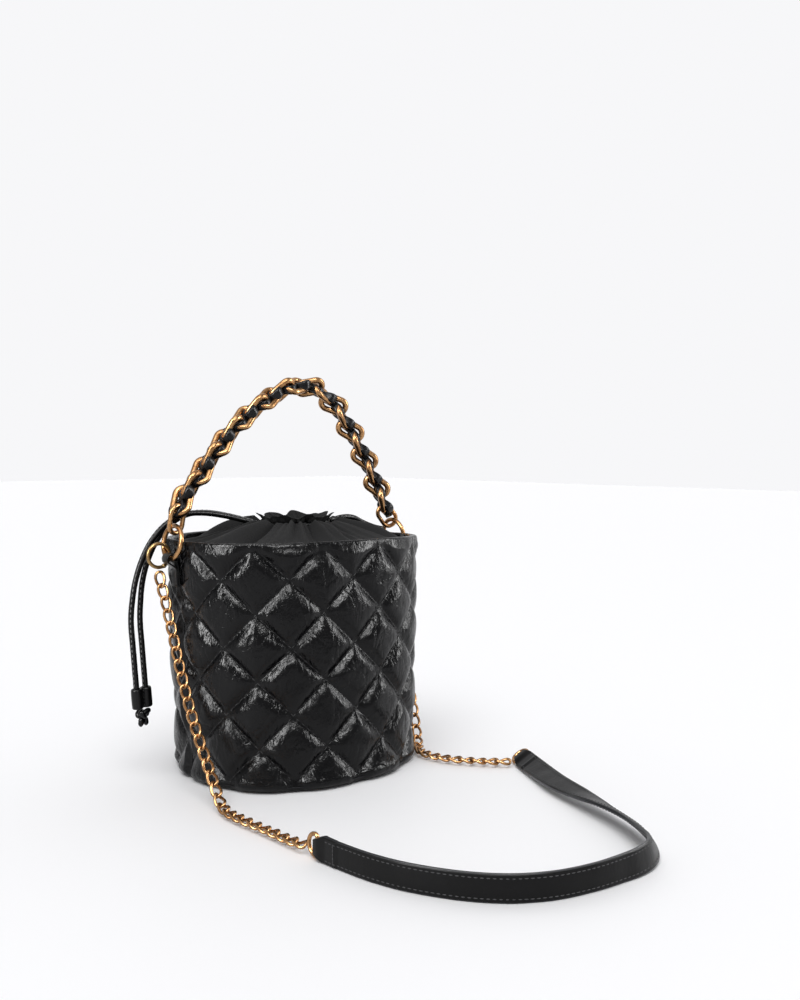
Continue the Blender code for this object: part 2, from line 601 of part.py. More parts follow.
def strap_frames():
    """Points along the leather strap with its side and up directions."""
    line = spline([Vector(p) for p in STRAP_ROUTE], STRAP_STEP)
    frames = []
    for i, (x, y, height, lean) in enumerate(line):
        ahead, behind = line[min(i + 1, len(line) - 1)], line[max(i - 1, 0)]
        along = Vector((ahead.x - behind.x, ahead.y - behind.y, 0)).normalized()
        left = Vector((-along.y, along.x, 0))
        lean = math.radians(lean)
        up = Vector((0, 0, 1)) * math.cos(lean) + left * math.sin(lean)
        side = left * math.cos(lean) - Vector((0, 0, 1)) * math.sin(lean)
        thickness = 2 * STRAP_LAYER + GAP
        resting = STRAP_WIDTH / 2 * abs(math.cos(lean)) + thickness / 2 * abs(math.sin(lean)) + GAP
        frames.append((Vector((x * MM, y * MM, max(height * MM, resting))), along, side, up))
    return frames


def make_strap():
    """One strip folded into two layers, which loops round the D rings' bars at its two ends."""
    frames = strap_frames()
    offset = (STRAP_LAYER + GAP) / 2
    centres, sides, ups = [], [], []
    for direction in (1, -1):
        run = frames if direction > 0 else frames[::-1]
        for centre, _, side, up in run[1:-1]:
            centres.append(centre + side * offset * direction)
            sides.append(side * direction)
            ups.append(up)
        centre, along, side, up = run[-1]
        for i in range(STRAP_LOOP_STEPS + 1):
            a = math.radians(STRAP_LOOP_TURN * (1 - 2 * i / STRAP_LOOP_STEPS))
            outward = side * direction * math.sin(a) + along * direction * math.cos(a)
            centres.append(centre + outward * STRAP_LOOP_RADIUS)
            sides.append(outward)
            ups.append(up)
    half_layer, half_width = STRAP_LAYER / 2, STRAP_WIDTH / 2
    rings = []
    ends = (frames[0][0], frames[-1][0])
    for c, s, u in zip(centres, sides, ups):
        near = min((c - end).length for end in ends)
        share = min(1.0, max(0.0, near - STRAP_LOOP_RADIUS) / STRAP_END_TAPER)
        width = half_width * (STRAP_END_WIDTH + (1 - STRAP_END_WIDTH) * share)
        rings.append([c - s * half_layer - u * width, c + s * half_layer - u * width,
                      c + s * half_layer + u * width, c - s * half_layer + u * width])
    add_solid("shoulder_strap", [p for ring in rings for p in ring], join_rings(rings, True, True), LEATHER)
    return frames


def d_ring(name, bar, along, up):
    """A D ring: a straight bar in the strap's loop and a bow towards the chain."""
    half = D_RING_HEIGHT / 2
    corner = D_RING_CORNER
    points = []
    for i in range(D_RING_CORNER_STEPS, -1, -1):
        a = math.pi / 2 * i / D_RING_CORNER_STEPS
        points.append(along * (corner * (math.sin(a) - 1)) + up * (half - corner * (1 - math.cos(a))))
    for i in range(1, D_RING_BOW_STEPS):
        a = math.pi * i / D_RING_BOW_STEPS
        points.append(-along * (corner + (D_RING_DEPTH - corner) * math.sin(a)) + up * (half * math.cos(a)))
    for i in range(D_RING_CORNER_STEPS + 1):
        a = math.pi / 2 * i / D_RING_CORNER_STEPS
        points.append(along * (corner * (math.sin(a) - 1)) - up * (half - corner * (1 - math.cos(a))))
    normal = along.cross(up)
    centres = [bar + p for p in points]
    count = len(centres)
    sides = [normal.cross(centres[(i + 1) % count] - centres[i - 1]).normalized() for i in range(count)]
    sweep(name, centres, sides, [normal] * count, circle_section(D_RING_WIRE / 2, 8), True, GOLD)


def make_shoulder_strap():
    frames = make_strap()
    for name, (centre, along, _, up), towards in (("left_strap_ring", frames[0], 1), ("right_strap_ring", frames[-1], -1)):
        d_ring(name, centre, along * towards, up)
    cord("left_chain", spline(route(LEFT_CHAIN_ROUTE), CHAIN_STEP), CHAIN_DIAMETER, GOLD)
    cord("right_chain", spline(route(RIGHT_CHAIN_ROUTE), CHAIN_STEP), CHAIN_DIAMETER, GOLD)


def main():
    clear_scene()
    quilted_panel("front_quilted_panel", math.pi)
    quilted_panel("back_quilted_panel", 0)
    plate("base_panel", 0, BASE_THICKNESS, WALL_THICKNESS + GAP, LEATHER)
    plate("base_board", BASE_THICKNESS + GAP, BOARD_THICKNESS, WALL_THICKNESS + GAP, BOARD)
    make_lining()
    make_facing()
    make_closure()
    make_drawstring()
    make_slider()
    make_knot()
    for side, word in ((-1, "left"), (1, "right")):
        make_tab(side, f"{word}_side_tab")
        make_ring(side, f"{word}_ring")
        make_clasp(side, f"{word}_clasp")
    make_handle()
    make_shoulder_strap()


main()
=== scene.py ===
"""The looks of the quilted bucket bag: padded leather, gathered cloth, cords, chains and metal on a pale floor.

Run it in Blender. Lengths are in metres, in the shared frame: +X is the bag's right and -Y its front.
"""

import math

import bpy
import numpy as np
from mathutils import Matrix, Vector


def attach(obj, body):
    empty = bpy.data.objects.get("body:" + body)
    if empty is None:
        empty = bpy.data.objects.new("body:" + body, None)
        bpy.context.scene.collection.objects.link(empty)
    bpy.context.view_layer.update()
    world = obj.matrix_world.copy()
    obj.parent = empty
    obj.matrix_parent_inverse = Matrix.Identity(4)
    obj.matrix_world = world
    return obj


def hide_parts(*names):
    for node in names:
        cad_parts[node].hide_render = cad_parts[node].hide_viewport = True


MM = 0.001
SEED = 7

# Camera
CAMERA_PLACE = (-0.4655, -0.7716, 0.2718)
CAMERA_AIM = (0.60107, 0.79781, -0.04705)
CAMERA_LENS = 36.58                  # millimetres, on a 36 mm sensor

# Studio: a white backdrop behind the bag, dimmer surroundings in front of it and soft light from above
STUDIO_WHITE = (0.93, 0.93, 0.945)
DIM_SIDE = 0.4
BACKDROP_SIDE = (0.6, 0.8, 0.0)
SUN_POWER = 1.78
SUN_FROM = (-0.35, -0.35, 1.0)
# Cards that only show in reflections: name, place, what they face, size and power
CARDS = [("left card", (-1.25, -0.35, 0.75), (0, -0.02, 0.12), (0.3, 0.9), 27),
         ("front card", (-0.35, -1.2, 1.15), (0, 0, 0.1), (0.9, 0.25), 21),
         ("right card", (1.2, -0.8, 0.6), (0, 0, 0.1), (0.25, 0.9), 15)]
FLOOR_LEVEL = -0.2 * MM
FLOOR_SIDES = (-6, 6)
FLOOR_DEPTH = (-6, 9)

# The bag's outline, as in the CAD
BAG_HEIGHT = 200 * MM
BASE_HALF = (103 * MM, 94 * MM)
TOP_HALF = (114 * MM, 86 * MM)
OUTLINE_POWER = 2.2
RIM_SAG = 4 * MM
WALL = 4 * MM
PERIMETER = 0.63                     # turns a share of the outline into a length
INNER_OFFSET = WALL + 0.3 * MM       # of the facing and the lining, in from the wall's surface

# Quilting: stitch lines cross at shares of the perimeter and at heights below the rim
CROSSING_START = -0.1285
CROSSING_STEP = 0.04488
CROSSING_TOP = 0.1965
CROSSING_DROP = 0.02703
DIAMOND_SPAN = 38.9 * MM             # between opposite sides of a diamond
PUFF = 4.9 * MM
SHOULDER = 4.8 * MM                  # how wide the rounded edge of a diamond is
STITCH_INSET = 2.9 * MM
RIM_DIP = 1.6 * MM                   # the rim gives way behind the right ring, where the last link swings
RIM_DIP_Y = 22 * MM
RIM_DIP_SPAN = 16 * MM
PANEL_SPAN = (0.0003, 0.4997)        # of the perimeter, from a panel's first seam
PANEL_COLUMNS = 560
PANEL_ROWS = 236
PANEL_HEIGHTS = (5 * MM, 193 * MM)   # of the quilted part, between the rolled base edge and the turned rim
RIM_PROFILE = [(194.5, 0.5), (196.5, 0.4), (198, 0.1), (199, -0.4), (199.6, -1.0), (199.8, -1.7),
               (199.7, -2.5), (199.2, -3.2), (198.5, -3.7)]     # height and offset, in millimetres
BASE_PROFILE = [(0.0, -7.5), (0.0, -6.0), (0.35, -4.4), (1.2, -3.0), (2.7, -1.8)]
BASE_SHARES = (0, 0, 0.1, 0.35, 0.7)          # how much of the quilting's relief each base row has
INNER_HEIGHTS = (190, 160, 120, 80, 40, 2)
UNDER_TAB = 0.6 * MM                 # how far the wall stays in where a tab or ring lies on it
STITCH_PITCH = 4.2 * MM
BACK_SHIFT = 0.513                   # the back's pattern doesn't meet the front's at the seams

# Drawstring
CORD_RADIUS = 2.4 * MM
NECK_RADIUS = 26 * MM
NECK_MIDDLE = 208.5 * MM
FOLD_TOP = 214.5 * MM                # the gathered folds stand up round the cord, then drop to it
FOLD_DROP = 8.5 * MM
CLOSURE_COLUMNS = 960
FUNNEL_ROWS = 26
RUFFLE_ROWS = 12
CLOTH_THICKNESS = 0.7 * MM
# Waves of the pleats round the neck: size, number round it and phase
PLEAT_WAVES = [(0.75, 19, 0), (0.4, 31, 1.3), (0.2, 47, 0.5)]
BROAD_WAVES = [(0.7, 8, 0.7), (0.5, 13, 2.1), (0.3, 21, 0)]
SOFT_WAVES = [(0.8, 7, 0.7), (0.4, 11, 2.1)]
LOOP_ANGLES = (189, 511)             # the loop round the neck is open at the left
CORD_STEP = 1.6 * MM
TAIL_ROUTE = [(-31.5, 6, 209), (-42, 9, 212), (-58, 16, 216.5), (-75, 23, 219.5), (-91, 28, 219),
              (-106, 31, 212.5), (-119, 32, 200), (-129, 32, 183), (-136, 31.5, 163), (-139.5, 31, 142),
              (-140, 31, 128), (-138.9, 31, 113), (-137.8, 31, 98), (-136.7, 31, 83), (-135.6, 31, 68),
              (-134.8, 31, 57.1)]
REAR_TAIL_OFFSETS = [(1, 5.4, -0.5), (3, 6.2, 0), (4, 7, 0), (4.5, 6.5, 0), (4.5, 6, -0.5), (5, 5.5, -1.5),
                     (6, 5, -1.5), (7, 4.5, -1), (8.2, 4.2, 0), (9.2, 4, 0), (9.5, 4, 0), (9.5, 4, 0),
                     (9.5, 4, 0), (9.5, 4, 0), (9.5, 4, 0), (9.5, 4, 0)]
RIGHT_RUN_ROUTE = [(30.5, -8, 209.5), (38, -9.5, 212.5), (48, -9, 213.5), (58, -7, 212), (68, -4, 208),
                   (78, -1, 204.5), (88, 1, 201.5), (98, 2, 199.5)]
SLIDER_RADIUS = 4.7 * MM
SLIDER_BORE = 2.75 * MM
SLIDER_LOW = 57.6 * MM
# Height in millimetres and radius of a slider tube, from its bore round its lips and back
SLIDER_PROFILE = [(0.6, SLIDER_BORE), (0.15, SLIDER_BORE + 0.5 * MM), (0, SLIDER_BORE + 1 * MM),
                  (0.1, SLIDER_RADIUS - 0.6 * MM), (0.6, SLIDER_RADIUS - 0.15 * MM), (1.3, SLIDER_RADIUS),
                  (4, SLIDER_RADIUS + 0.1 * MM), (8.5, SLIDER_RADIUS + 0.15 * MM),
                  (13, SLIDER_RADIUS + 0.1 * MM), (15.7, SLIDER_RADIUS), (16.4, SLIDER_RADIUS - 0.15 * MM),
                  (16.9, SLIDER_RADIUS - 0.6 * MM), (17, SLIDER_BORE + 1 * MM),
                  (16.85, SLIDER_BORE + 0.5 * MM), (16.4, SLIDER_BORE)]
KNOT_CORD = 2.3 * MM
KNOT_DROP = 5.4 * MM                 # of the knot's middle below the slider

# Rings, tabs and clasps
RING_RADIUS = 13.6 * MM
RING_WIRE = 4 * MM
RING_FEET = {-1: Vector((-118.8, 0, 184.9)) * MM, 1: Vector((119.4, 12, 180.4)) * MM}
RING_TURN = math.radians(3)
RING_LEAN = math.radians(10)
CLASP_RADIUS = 9.7 * MM
CLASP_WIRE = 3 * MM
CLASP_GATE_WIRE = 2.2 * MM
CLASP_GATE = (91, 153)               # degrees from the clasp's top, towards the bag
CLASP_OFFSET = Vector((8.49, 7.5, -10.9)) * MM
CLASP_YAW = math.radians(2.7)
CLASP_HINGE_GAP = 0.7 * MM
CLASP_TIP_GAP = 1.4 * MM
BEAD_RADIUS = 1.95 * MM
KNUCKLE_RADIUS = 1.75 * MM
# Height and radius of a turned bead, as shares of its radius
BEAD_PROFILE = [(-1, 0.5), (-0.98, 0.75), (-0.85, 0.8), (-0.72, 0.72), (-0.6, 0.85), (-0.35, 0.98), (0, 1.04),
                (0.35, 0.98), (0.6, 0.85), (0.72, 0.72), (0.85, 0.8), (0.98, 0.75), (1, 0.5)]
TAB_LAYER = 1.3 * MM
TAB_LOOP = 4.4 * MM
TAB_LOW = 162 * MM
TAB_SHOULDER = 1.9                   # loop radii from the wire's middle down to where the two layers meet
TAB_HALF_WIDTH = 5.3 * MM
TAB_INNER = 0.95 * MM                # of the inner layer's middle, out from the wall
TAB_OUTER = 1.6                      # millimetres from the inner layer's middle to the outer one's
TAB_SEAM = 3.7                       # millimetres from the tab's middle to each row of stitches

# Handle
HANDLE_ROUTE = [(0, 0), (2.5, 14), (9, 27.5), (19, 40), (30, 54), (44, 71), (58, 86), (73, 98.5), (89, 109.5),
                (106, 119), (123, 123.5), (140, 121.5), (155, 113.5), (168, 101), (180, 85), (192, 67),
                (203, 48.5), (212.5, 31), (220, 15), (226, 3.5), (230.5, -4.5)]
LINK_COUNT = 23
LINK_WIRE = 4.5 * MM
LINK_LENGTH = 23.1 * MM
LINK_WIDTH = 12.8 * MM
LINK_SWELL = 0.45 * MM               # the middle links' wire is a little fuller, and the end links' finer
END_LINK_SLACK = 0.28 * MM
END_LINK_WIDTH = 14.2 * MM
LINK_TURNS = [(30.7, 22.7, 22.4), (136.2, 6.0, -19.4)]
END_LINKS = {0: ((18.2, 7, 7), (-1.35, 1.8, -0.1)), 22: ((16.6, 12.9, -0.7), (2.1, -2.84, 0.26))}
LACE_SWAY = 5.2 * MM
LACE_WIDTH = 8.6 * MM
LACE_THICKNESS = 4.4 * MM
LACE_RISE = 0.6 * MM
LACE_POINTS = 680
HOOK_GAP = 0.4 * MM                  # between an end link and its ring

# Shoulder strap
CHAIN_PITCH = 10.6 * MM
CHAIN_GAP = 1.2 * MM                 # between an end link and what it hangs on
CHAIN_LINK = 15.2 * MM
CHAIN_WIDTH = 9.6 * MM
CHAIN_WIRE = 2.4 * MM
CHAIN_TWIST = math.radians(42)
STRAP_WIDTH = 17.5 * MM
STRAP_THICKNESS = 2.8 * MM
STRAP_LIP = 0.35 * MM                # how far the painted edge stands out
STRAP_LOOP = 4.1 * MM
STRAP_FOLD = 22 * MM                 # how far the folded ends reach along the strap
STRAP_CORNER = 0.85 * MM
STRAP_SEAM = 2.4 * MM                # from the strap's edge
D_RING = (14.8 * MM, 9.5 * MM, 2.2 * MM, 3 * MM)     # height, depth, corner, wire
LEFT_CHAIN_ROUTE = [(-124.9, 7.5, 175.2), (-123.8, 7.5, 165), (-121, 5.5, 152), (-119.5, 1, 136),
                    (-118, -4.5, 119), (-117, -11, 101), (-116, -19, 83), (-115.5, -29, 65), (-115, -41, 47.5),
                    (-115, -55, 31), (-116, -70, 16.5), (-118, -84, 7), (-120, -98, 4.4), (-119.5, -114, 4.3),
                    (-117, -133, 4.3), (-114, -153, 4.3), (-111.5, -173, 4.3), (-109.5, -193.9, 6)]
RIGHT_CHAIN_ROUTE = [(125.5, 4.5, 170.7), (124.2, 4.7, 160), (121.3, 4, 145), (119, 1, 126), (117, -3, 107),
                     (115.5, -8, 87), (114, -14, 67), (112.5, -21, 47), (110.5, -29, 28), (107, -37.5, 13),
                     (102, -46, 6), (95, -56, 4.4), (89.5, -68, 4.3), (90.5, -83, 4.3), (97, -99, 4.3),
                     (107, -112, 4.3), (119, -125, 4.3), (133, -137.5, 4.6)]
STRAP_ROUTE = [(-108, -205.5, 9, 0), (-107, -218, 9, 0), (-105, -233, 9, 0), (-100, -256, 9, 0),
               (-91.5, -279, 9, 0), (-79, -301, 9, 0), (-64, -320, 9, 0), (-46, -335, 9, 0), (-24, -345.5, 9, 0),
               (2, -351, 9, 0), (28, -352.5, 9, 4), (44, -352, 9.3, 10), (58, -349, 9.8, 14),
               (69.5, -341.5, 9.8, 24), (78, -330.5, 9.8, 38), (85.5, -318, 9.8, 49), (92, -305, 9.8, 56),
               (97, -291, 9.6, 60), (101, -277, 9.3, 65), (104.5, -263, 9, 73), (107.5, -249, 8.8, 84),
               (110.5, -235, 8.5, 95), (113.5, -220, 8.3, 102), (118, -204, 8, 107), (124.5, -187, 7.4, 112),
               (132, -168, 7, 119), (139, -151, 6.6, 125), (145, -137, 6.6, 126)]

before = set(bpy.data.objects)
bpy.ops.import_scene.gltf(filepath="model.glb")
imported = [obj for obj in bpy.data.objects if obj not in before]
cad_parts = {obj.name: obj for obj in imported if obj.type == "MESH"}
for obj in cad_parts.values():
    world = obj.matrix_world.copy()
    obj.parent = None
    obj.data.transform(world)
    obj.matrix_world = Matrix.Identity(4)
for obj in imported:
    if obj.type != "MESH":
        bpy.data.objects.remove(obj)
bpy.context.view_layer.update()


# ---------------------------------------------------------------- noise and meshes

def smooth(low, high, x):
    t = np.clip((x - low) / (high - low), 0, 1)
    return t * t * (3 - 2 * t)


def noise(x, y, cell, seed):
    """Smooth noise from -1 to 1 with bumps of that size."""
    table = np.random.default_rng(SEED + seed).uniform(-1, 1, (256, 256))
    x, y = np.broadcast_arrays(np.asarray(x, float) / cell, np.asarray(y, float) / cell)
    i, j = np.floor(x).astype(int), np.floor(y).astype(int)
    fx, fy = x - i, y - j
    fx, fy = fx * fx * (3 - 2 * fx), fy * fy * (3 - 2 * fy)
    a, b = table[i % 256, j % 256], table[(i + 1) % 256, j % 256]
    c, d = table[i % 256, (j + 1) % 256], table[(i + 1) % 256, (j + 1) % 256]
    return (a + (b - a) * fx) * (1 - fy) + (c + (d - c) * fx) * fy


def finish_mesh(name, points, faces, mat, body, uv=None):
    mesh = bpy.data.meshes.new(name)
    mesh.from_pydata([tuple(p) for p in points], [], faces)
    if uv is not None:
        layer = mesh.uv_layers.new(name="UVMap")
        index = np.zeros(len(mesh.loops), int)
        mesh.loops.foreach_get("vertex_index", index)
        layer.data.foreach_set("uv", np.asarray(uv, np.float32)[index].ravel())
    mesh.shade_smooth()
    mesh.set_sharp_from_angle(angle=math.radians(50))
    mesh.materials.append(mat)
    made = bpy.data.objects.new(name, mesh)
    bpy.context.collection.objects.link(made)
    if body:
        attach(made, body)
    return made


def stand_in(made, node, body=None):
    """Puts a piece in the place of a CAD node: it hangs on the given body, if any, and the node is hidden."""
    if body:
        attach(made, body)
    if node:
        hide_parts(node)


def grid_faces(rows, cols, wrap_cols, wrap_rows, start=0):
    faces = []
    for i in range(rows if wrap_rows else rows - 1):
        low, high = start + i * cols, start + (i + 1) % rows * cols
        for j in range(cols if wrap_cols else cols - 1):
            k = (j + 1) % cols
            faces.append((low + j, low + k, high + k, high + j))
    return faces


def grid(name, points, mat, body, wrap_cols=False, wrap_rows=False, caps=False, uv=None):
    """A mesh from rows and columns of points."""
    rows, cols = points.shape[:2]
    faces = grid_faces(rows, cols, wrap_cols, wrap_rows)
    if caps:
        faces += [tuple(range(cols))[::-1], tuple(range((rows - 1) * cols, rows * cols))]
    flat_uv = None if uv is None else uv.reshape(-1, 2)
    return finish_mesh(name, points.reshape(-1, 3), faces, mat, body, flat_uv)


def unit(v):
    return v / np.maximum(np.linalg.norm(v, axis=-1, keepdims=True), 1e-12)


def tangents(line, closed=False):
    if closed:
        return unit(np.roll(line, -1, 0) - np.roll(line, 1, 0))
    ahead = np.vstack([line[1:], line[-1:]])
    behind = np.vstack([line[:1], line[:-1]])
    return unit(ahead - behind)


def spline(points, step):
    """Evenly spaced points on a smooth curve through the given ones; it has any number of coordinates."""
    p = np.asarray(points, float)
    p = np.vstack([2 * p[0] - p[1], p, 2 * p[-1] - p[-2]])
    fine = []
    t = np.arange(24)[:, None] / 24
    for p0, p1, p2, p3 in zip(p, p[1:], p[2:], p[3:]):
        fine.append(0.5 * (2 * p1 + (p2 - p0) * t + (2 * p0 - 5 * p1 + 4 * p2 - p3) * t ** 2
                           + (3 * p1 - p0 - 3 * p2 + p3) * t ** 3))
    fine = np.vstack(fine + [p[-2:-1]])
    lengths = along(fine[:, :3])
    count = max(2, int(round(lengths[-1] / step)))
    return resample(fine, lengths, np.linspace(0, lengths[-1], count + 1))


def along(line):
    return np.concatenate([[0], np.cumsum(np.linalg.norm(np.diff(line, axis=0), axis=1))])


def resample(line, lengths, distances):
    return np.stack([np.interp(distances, lengths, line[:, i]) for i in range(line.shape[1])], 1)


def sweep(name, centres, sides, ups, section, mat, body, closed=False, uv=None):
    """A solid made by carrying one section, or a section for each point, along a line."""
    section = np.asarray(section, float)
    if section.ndim == 2:
        section = np.broadcast_to(section, (len(centres),) + section.shape)
    points = (centres[:, None] + sides[:, None] * section[:, :, :1] + ups[:, None] * section[:, :, 1:])
    if uv is None:
        run = along(centres)
        turn = np.arange(section.shape[1]) / section.shape[1]
        uv = np.stack(np.broadcast_arrays(run[:, None], turn[None] * 0.01), -1)
    return grid(name, points, mat, body, wrap_cols=True, wrap_rows=closed, caps=not closed, uv=uv)


def frames_along(line, guide):
    """Directions across a line: one as near to the guide as it can be, and one square to both."""
    t = tangents(line)
    guide = np.broadcast_to(np.asarray(guide, float), line.shape)
    side = unit(guide - t * np.sum(guide * t, 1, keepdims=True))
    return side, np.cross(t, side)


def circle(radius, sides):
    a = 2 * np.pi * np.arange(sides) / sides
    return np.stack([radius * np.cos(a), radius * np.sin(a)], 1)


def rounded_box(half_x, half_y, corner, steps=4):
    points = []
    for x, y, start in ((1, 1, 0), (-1, 1, 90), (-1, -1, 180), (1, -1, 270)):
        for i in range(steps + 1):
            a = math.radians(start + 90 * i / steps)
            points.append((x * (half_x - corner) + corner * math.cos(a),
                           y * (half_y - corner) + corner * math.sin(a)))
    return np.array(points)


def tube(name, line, radius, mat, body, sides=16, guide=(0.2, 0.3, 1)):
    side, up = frames_along(line, guide)
    lengths = along(line)
    from_end = np.minimum(lengths, lengths[-1] - lengths)
    ends = np.minimum(1, np.sqrt(np.clip(from_end / radius, 0.02, 1)))
    return sweep(name, line, side, up, circle(radius, sides)[None] * ends[:, None, None], mat, body)


def join(pieces, name):
    """Several meshes as one."""
    bpy.ops.object.select_all(action="DESELECT")
    for piece in pieces:
        piece.select_set(True)
    bpy.context.view_layer.objects.active = pieces[0]
    bpy.ops.object.join()
    pieces[0].name = name
    return pieces[0]


# ---------------------------------------------------------------- materials

def material(name, colour, roughness, metallic=0.0):
    made = bpy.data.materials.new(name)
    made.use_nodes = True
    shader = made.node_tree.nodes["Principled BSDF"]
    shader.inputs["Base Color"].default_value = (*colour, 1)
    shader.inputs["Roughness"].default_value = roughness
    shader.inputs["Metallic"].default_value = metallic
    return made, made.node_tree, shader


def add_node(tree, kind, **values):
    """A shader node with a value or a link on each named input; _ in a name stands for a space."""
    made = tree.nodes.new("ShaderNode" + kind)
    for name, value in values.items():
        socket = made.inputs[name.replace("_", " ")]
        if isinstance(value, bpy.types.NodeSocket):
            tree.links.new(value, socket)
        else:
            socket.default_value = value
    return made


def coordinates(tree, stretch=(1, 1, 1)):
    place = add_node(tree, "TexCoord").outputs["Object"]
    return add_node(tree, "Mapping", Vector=place, Scale=stretch).outputs["Vector"]


def noise_node(tree, vector, scale, detail=4, rough=0.6, distortion=0.0):
    made = add_node(tree, "TexNoise", Vector=vector, Scale=scale, Detail=detail, Roughness=rough,
                    Distortion=distortion)
    return made.outputs["Fac"]


def cells(tree, vector, scale):
    return add_node(tree, "TexVoronoi", Vector=vector, Scale=scale).outputs["Distance"]


def remap(tree, value, low, high, to_low, to_high):
    made = add_node(tree, "MapRange", Value=value, From_Min=low, From_Max=high, To_Min=to_low, To_Max=to_high)
    return made.outputs["Result"]


def bump(tree, shader, heights):
    """Stacks bumps of (height, strength, distance) on the shader's normal."""
    last = None
    for height, strength, distance in heights:
        made = add_node(tree, "Bump", Height=height, Strength=strength, Distance=distance)
        if last is not None:
            tree.links.new(last, made.inputs["Normal"])
        last = made.outputs["Normal"]
    tree.links.new(last, shader.inputs["Normal"])


def ridges(tree, vector, scale, distortion):
    """Sharp creases where noise crosses its middle value."""
    value = noise_node(tree, vector, scale, 2, 0.5, distortion)
    centred = tree.nodes.new("ShaderNodeMath")
    centred.operation = "SUBTRACT"
    centred.inputs[1].default_value = 0.5
    tree.links.new(value, centred.inputs[0])
    size = tree.nodes.new("ShaderNodeMath")
    size.operation = "ABSOLUTE"
    tree.links.new(centred.outputs[0], size.inputs[0])
    return remap(tree, size.outputs[0], 0.0, 0.09, 0.0, 1.0)


def leather(name, colour, roughness, creases, grain, gloss):
    """Glazed leather with creases and a fine grain."""
    made, tree, shader = material(name, colour, roughness)
    vector = coordinates(tree)
    broad = noise_node(tree, vector, 70, 3, 0.55, 0.6)
    streaks = coordinates(tree, (1, 1, 0.45))
    crease = ridges(tree, streaks, 62, 1.1)
    small = ridges(tree, streaks, 210, 1.4)
    bump(tree, shader, [(broad, 0.3 * creases, 0.002), (crease, 0.4 * creases, 0.0006),
                        (small, 0.4 * creases, 0.00022), (cells(tree, vector, 1500), grain, 0.00008)])
    shader.inputs["Specular IOR Level"].default_value = gloss
    wear = noise_node(tree, vector, 45, 4, 0.6)
    worn = remap(tree, wear, 0.3, 0.7, roughness - 0.06, roughness + 0.07)
    tree.links.new(worn, shader.inputs["Roughness"])
    return made


def cloth(name, colour):
    made, tree, shader = material(name, colour, 0.92)
    shader.inputs["Specular IOR Level"].default_value = 0.25
    vector = coordinates(tree)
    soft = noise_node(tree, vector, 120, 3, 0.5, 0.4)
    bump(tree, shader, [(soft, 0.4, 0.0015), (cells(tree, vector, 1300), 0.35, 0.0003)])
    return made


def metal(name, light, dark, roughness):
    """Antique plated metal: brighter where it is rubbed, brown in the patches that aren't."""
    made, tree, shader = material(name, light, roughness, metallic=1.0)
    vector = coordinates(tree)
    patches = noise_node(tree, vector, 160, 4, 0.6, 0.3)
    ramp = add_node(tree, "ValToRGB", Fac=patches)
    for element, place, colour in zip(ramp.color_ramp.elements, (0.36, 0.56), (dark, light)):
        element.color = (*colour, 1)
        element.position = place
    tree.links.new(ramp.outputs["Color"], shader.inputs["Base Color"])
    fine = noise_node(tree, vector, 900, 3, 0.5)
    worn = remap(tree, patches, 0.3, 0.7, roughness + 0.12, roughness - 0.04)
    tree.links.new(worn, shader.inputs["Roughness"])
    bump(tree, shader, [(patches, 0.05, 0.0002), (fine, 0.05, 0.00005)])
    return made


def plain(name, colour, roughness):
    made, tree, shader = material(name, colour, roughness)
    fine = noise_node(tree, coordinates(tree), 2500, 2, 0.5)
    bump(tree, shader, [(fine, 0.2, 0.0001)])
    return made


BAG_LEATHER = leather("bag leather", (0.002, 0.002, 0.0024), 0.22, 0.9, 0.15, 0.2)
CORD_LEATHER = leather("cord leather", (0.0025, 0.0025, 0.003), 0.28, 0.25, 0.2, 0.22)
STRAP_LEATHER = leather("strap leather", (0.0025, 0.0025, 0.0028), 0.34, 0.14, 0.3, 0.17)
EDGE_PAINT = plain("edge paint", (0.012, 0.013, 0.016), 0.36)
PALE_THREAD = plain("pale thread", (0.2, 0.2, 0.2), 0.6)
STRAP_THREAD = plain("strap thread", (0.03, 0.03, 0.033), 0.6)
DARK_THREAD = plain("dark thread", (0.008, 0.008, 0.009), 0.6)
CLOTH = cloth("gathered cloth", (0.0045, 0.0045, 0.005))
LINING = cloth("lining cloth", (0.02, 0.02, 0.022))
GOLD = metal("antique gold", (0.42, 0.235, 0.105), (0.2, 0.1, 0.042), 0.25)
BRASS = metal("dull brass", (0.3, 0.195, 0.085), (0.15, 0.095, 0.042), 0.28)


# ---------------------------------------------------------------- the bag's body

def half_axes(z):
    share = np.asarray(z) / BAG_HEIGHT
    return [base + (top - base) * share for base, top in zip(BASE_HALF, TOP_HALF)]


def wall_points(u, z, offset):
    """Points on the bag's wall. u is one row of shares of the perimeter, from the front's middle towards +X. z
    has a height for each row, and offset how far out of the surface that row is: one value or one for each u."""
    rows = []
    angle = np.linspace(-np.pi / 2, 1.5 * np.pi, 1441)
    power = 2 / OUTLINE_POWER
    c, s = np.cos(angle), np.sin(angle)
    shape = np.stack([np.copysign(np.abs(c) ** power, c), np.copysign(np.abs(s) ** power, s)], 1)
    for height, out in zip(z, offset):
        clamped = min(max(height, 0), BAG_HEIGHT)
        outline = shape * np.array(half_axes(clamped))
        lengths = along(outline)
        here = resample(outline, lengths, (np.asarray(u) % 1) * lengths[-1])
        ahead = resample(outline, lengths, ((np.asarray(u) + 0.002) % 1) * lengths[-1])
        behind = resample(outline, lengths, ((np.asarray(u) - 0.002) % 1) * lengths[-1])
        t = unit(ahead - behind)
        normal = np.stack([t[:, 1], -t[:, 0]], 1)
        place = here + normal * np.asarray(out).reshape(-1, 1)
        cosine = np.clip(here[:, 0] / half_axes(clamped)[0], 0, 1) ** OUTLINE_POWER
        sag = RIM_SAG * (clamped / BAG_HEIGHT) ** 3 * cosine
        rows.append(np.column_stack([place, height - sag]))
    return np.array(rows)


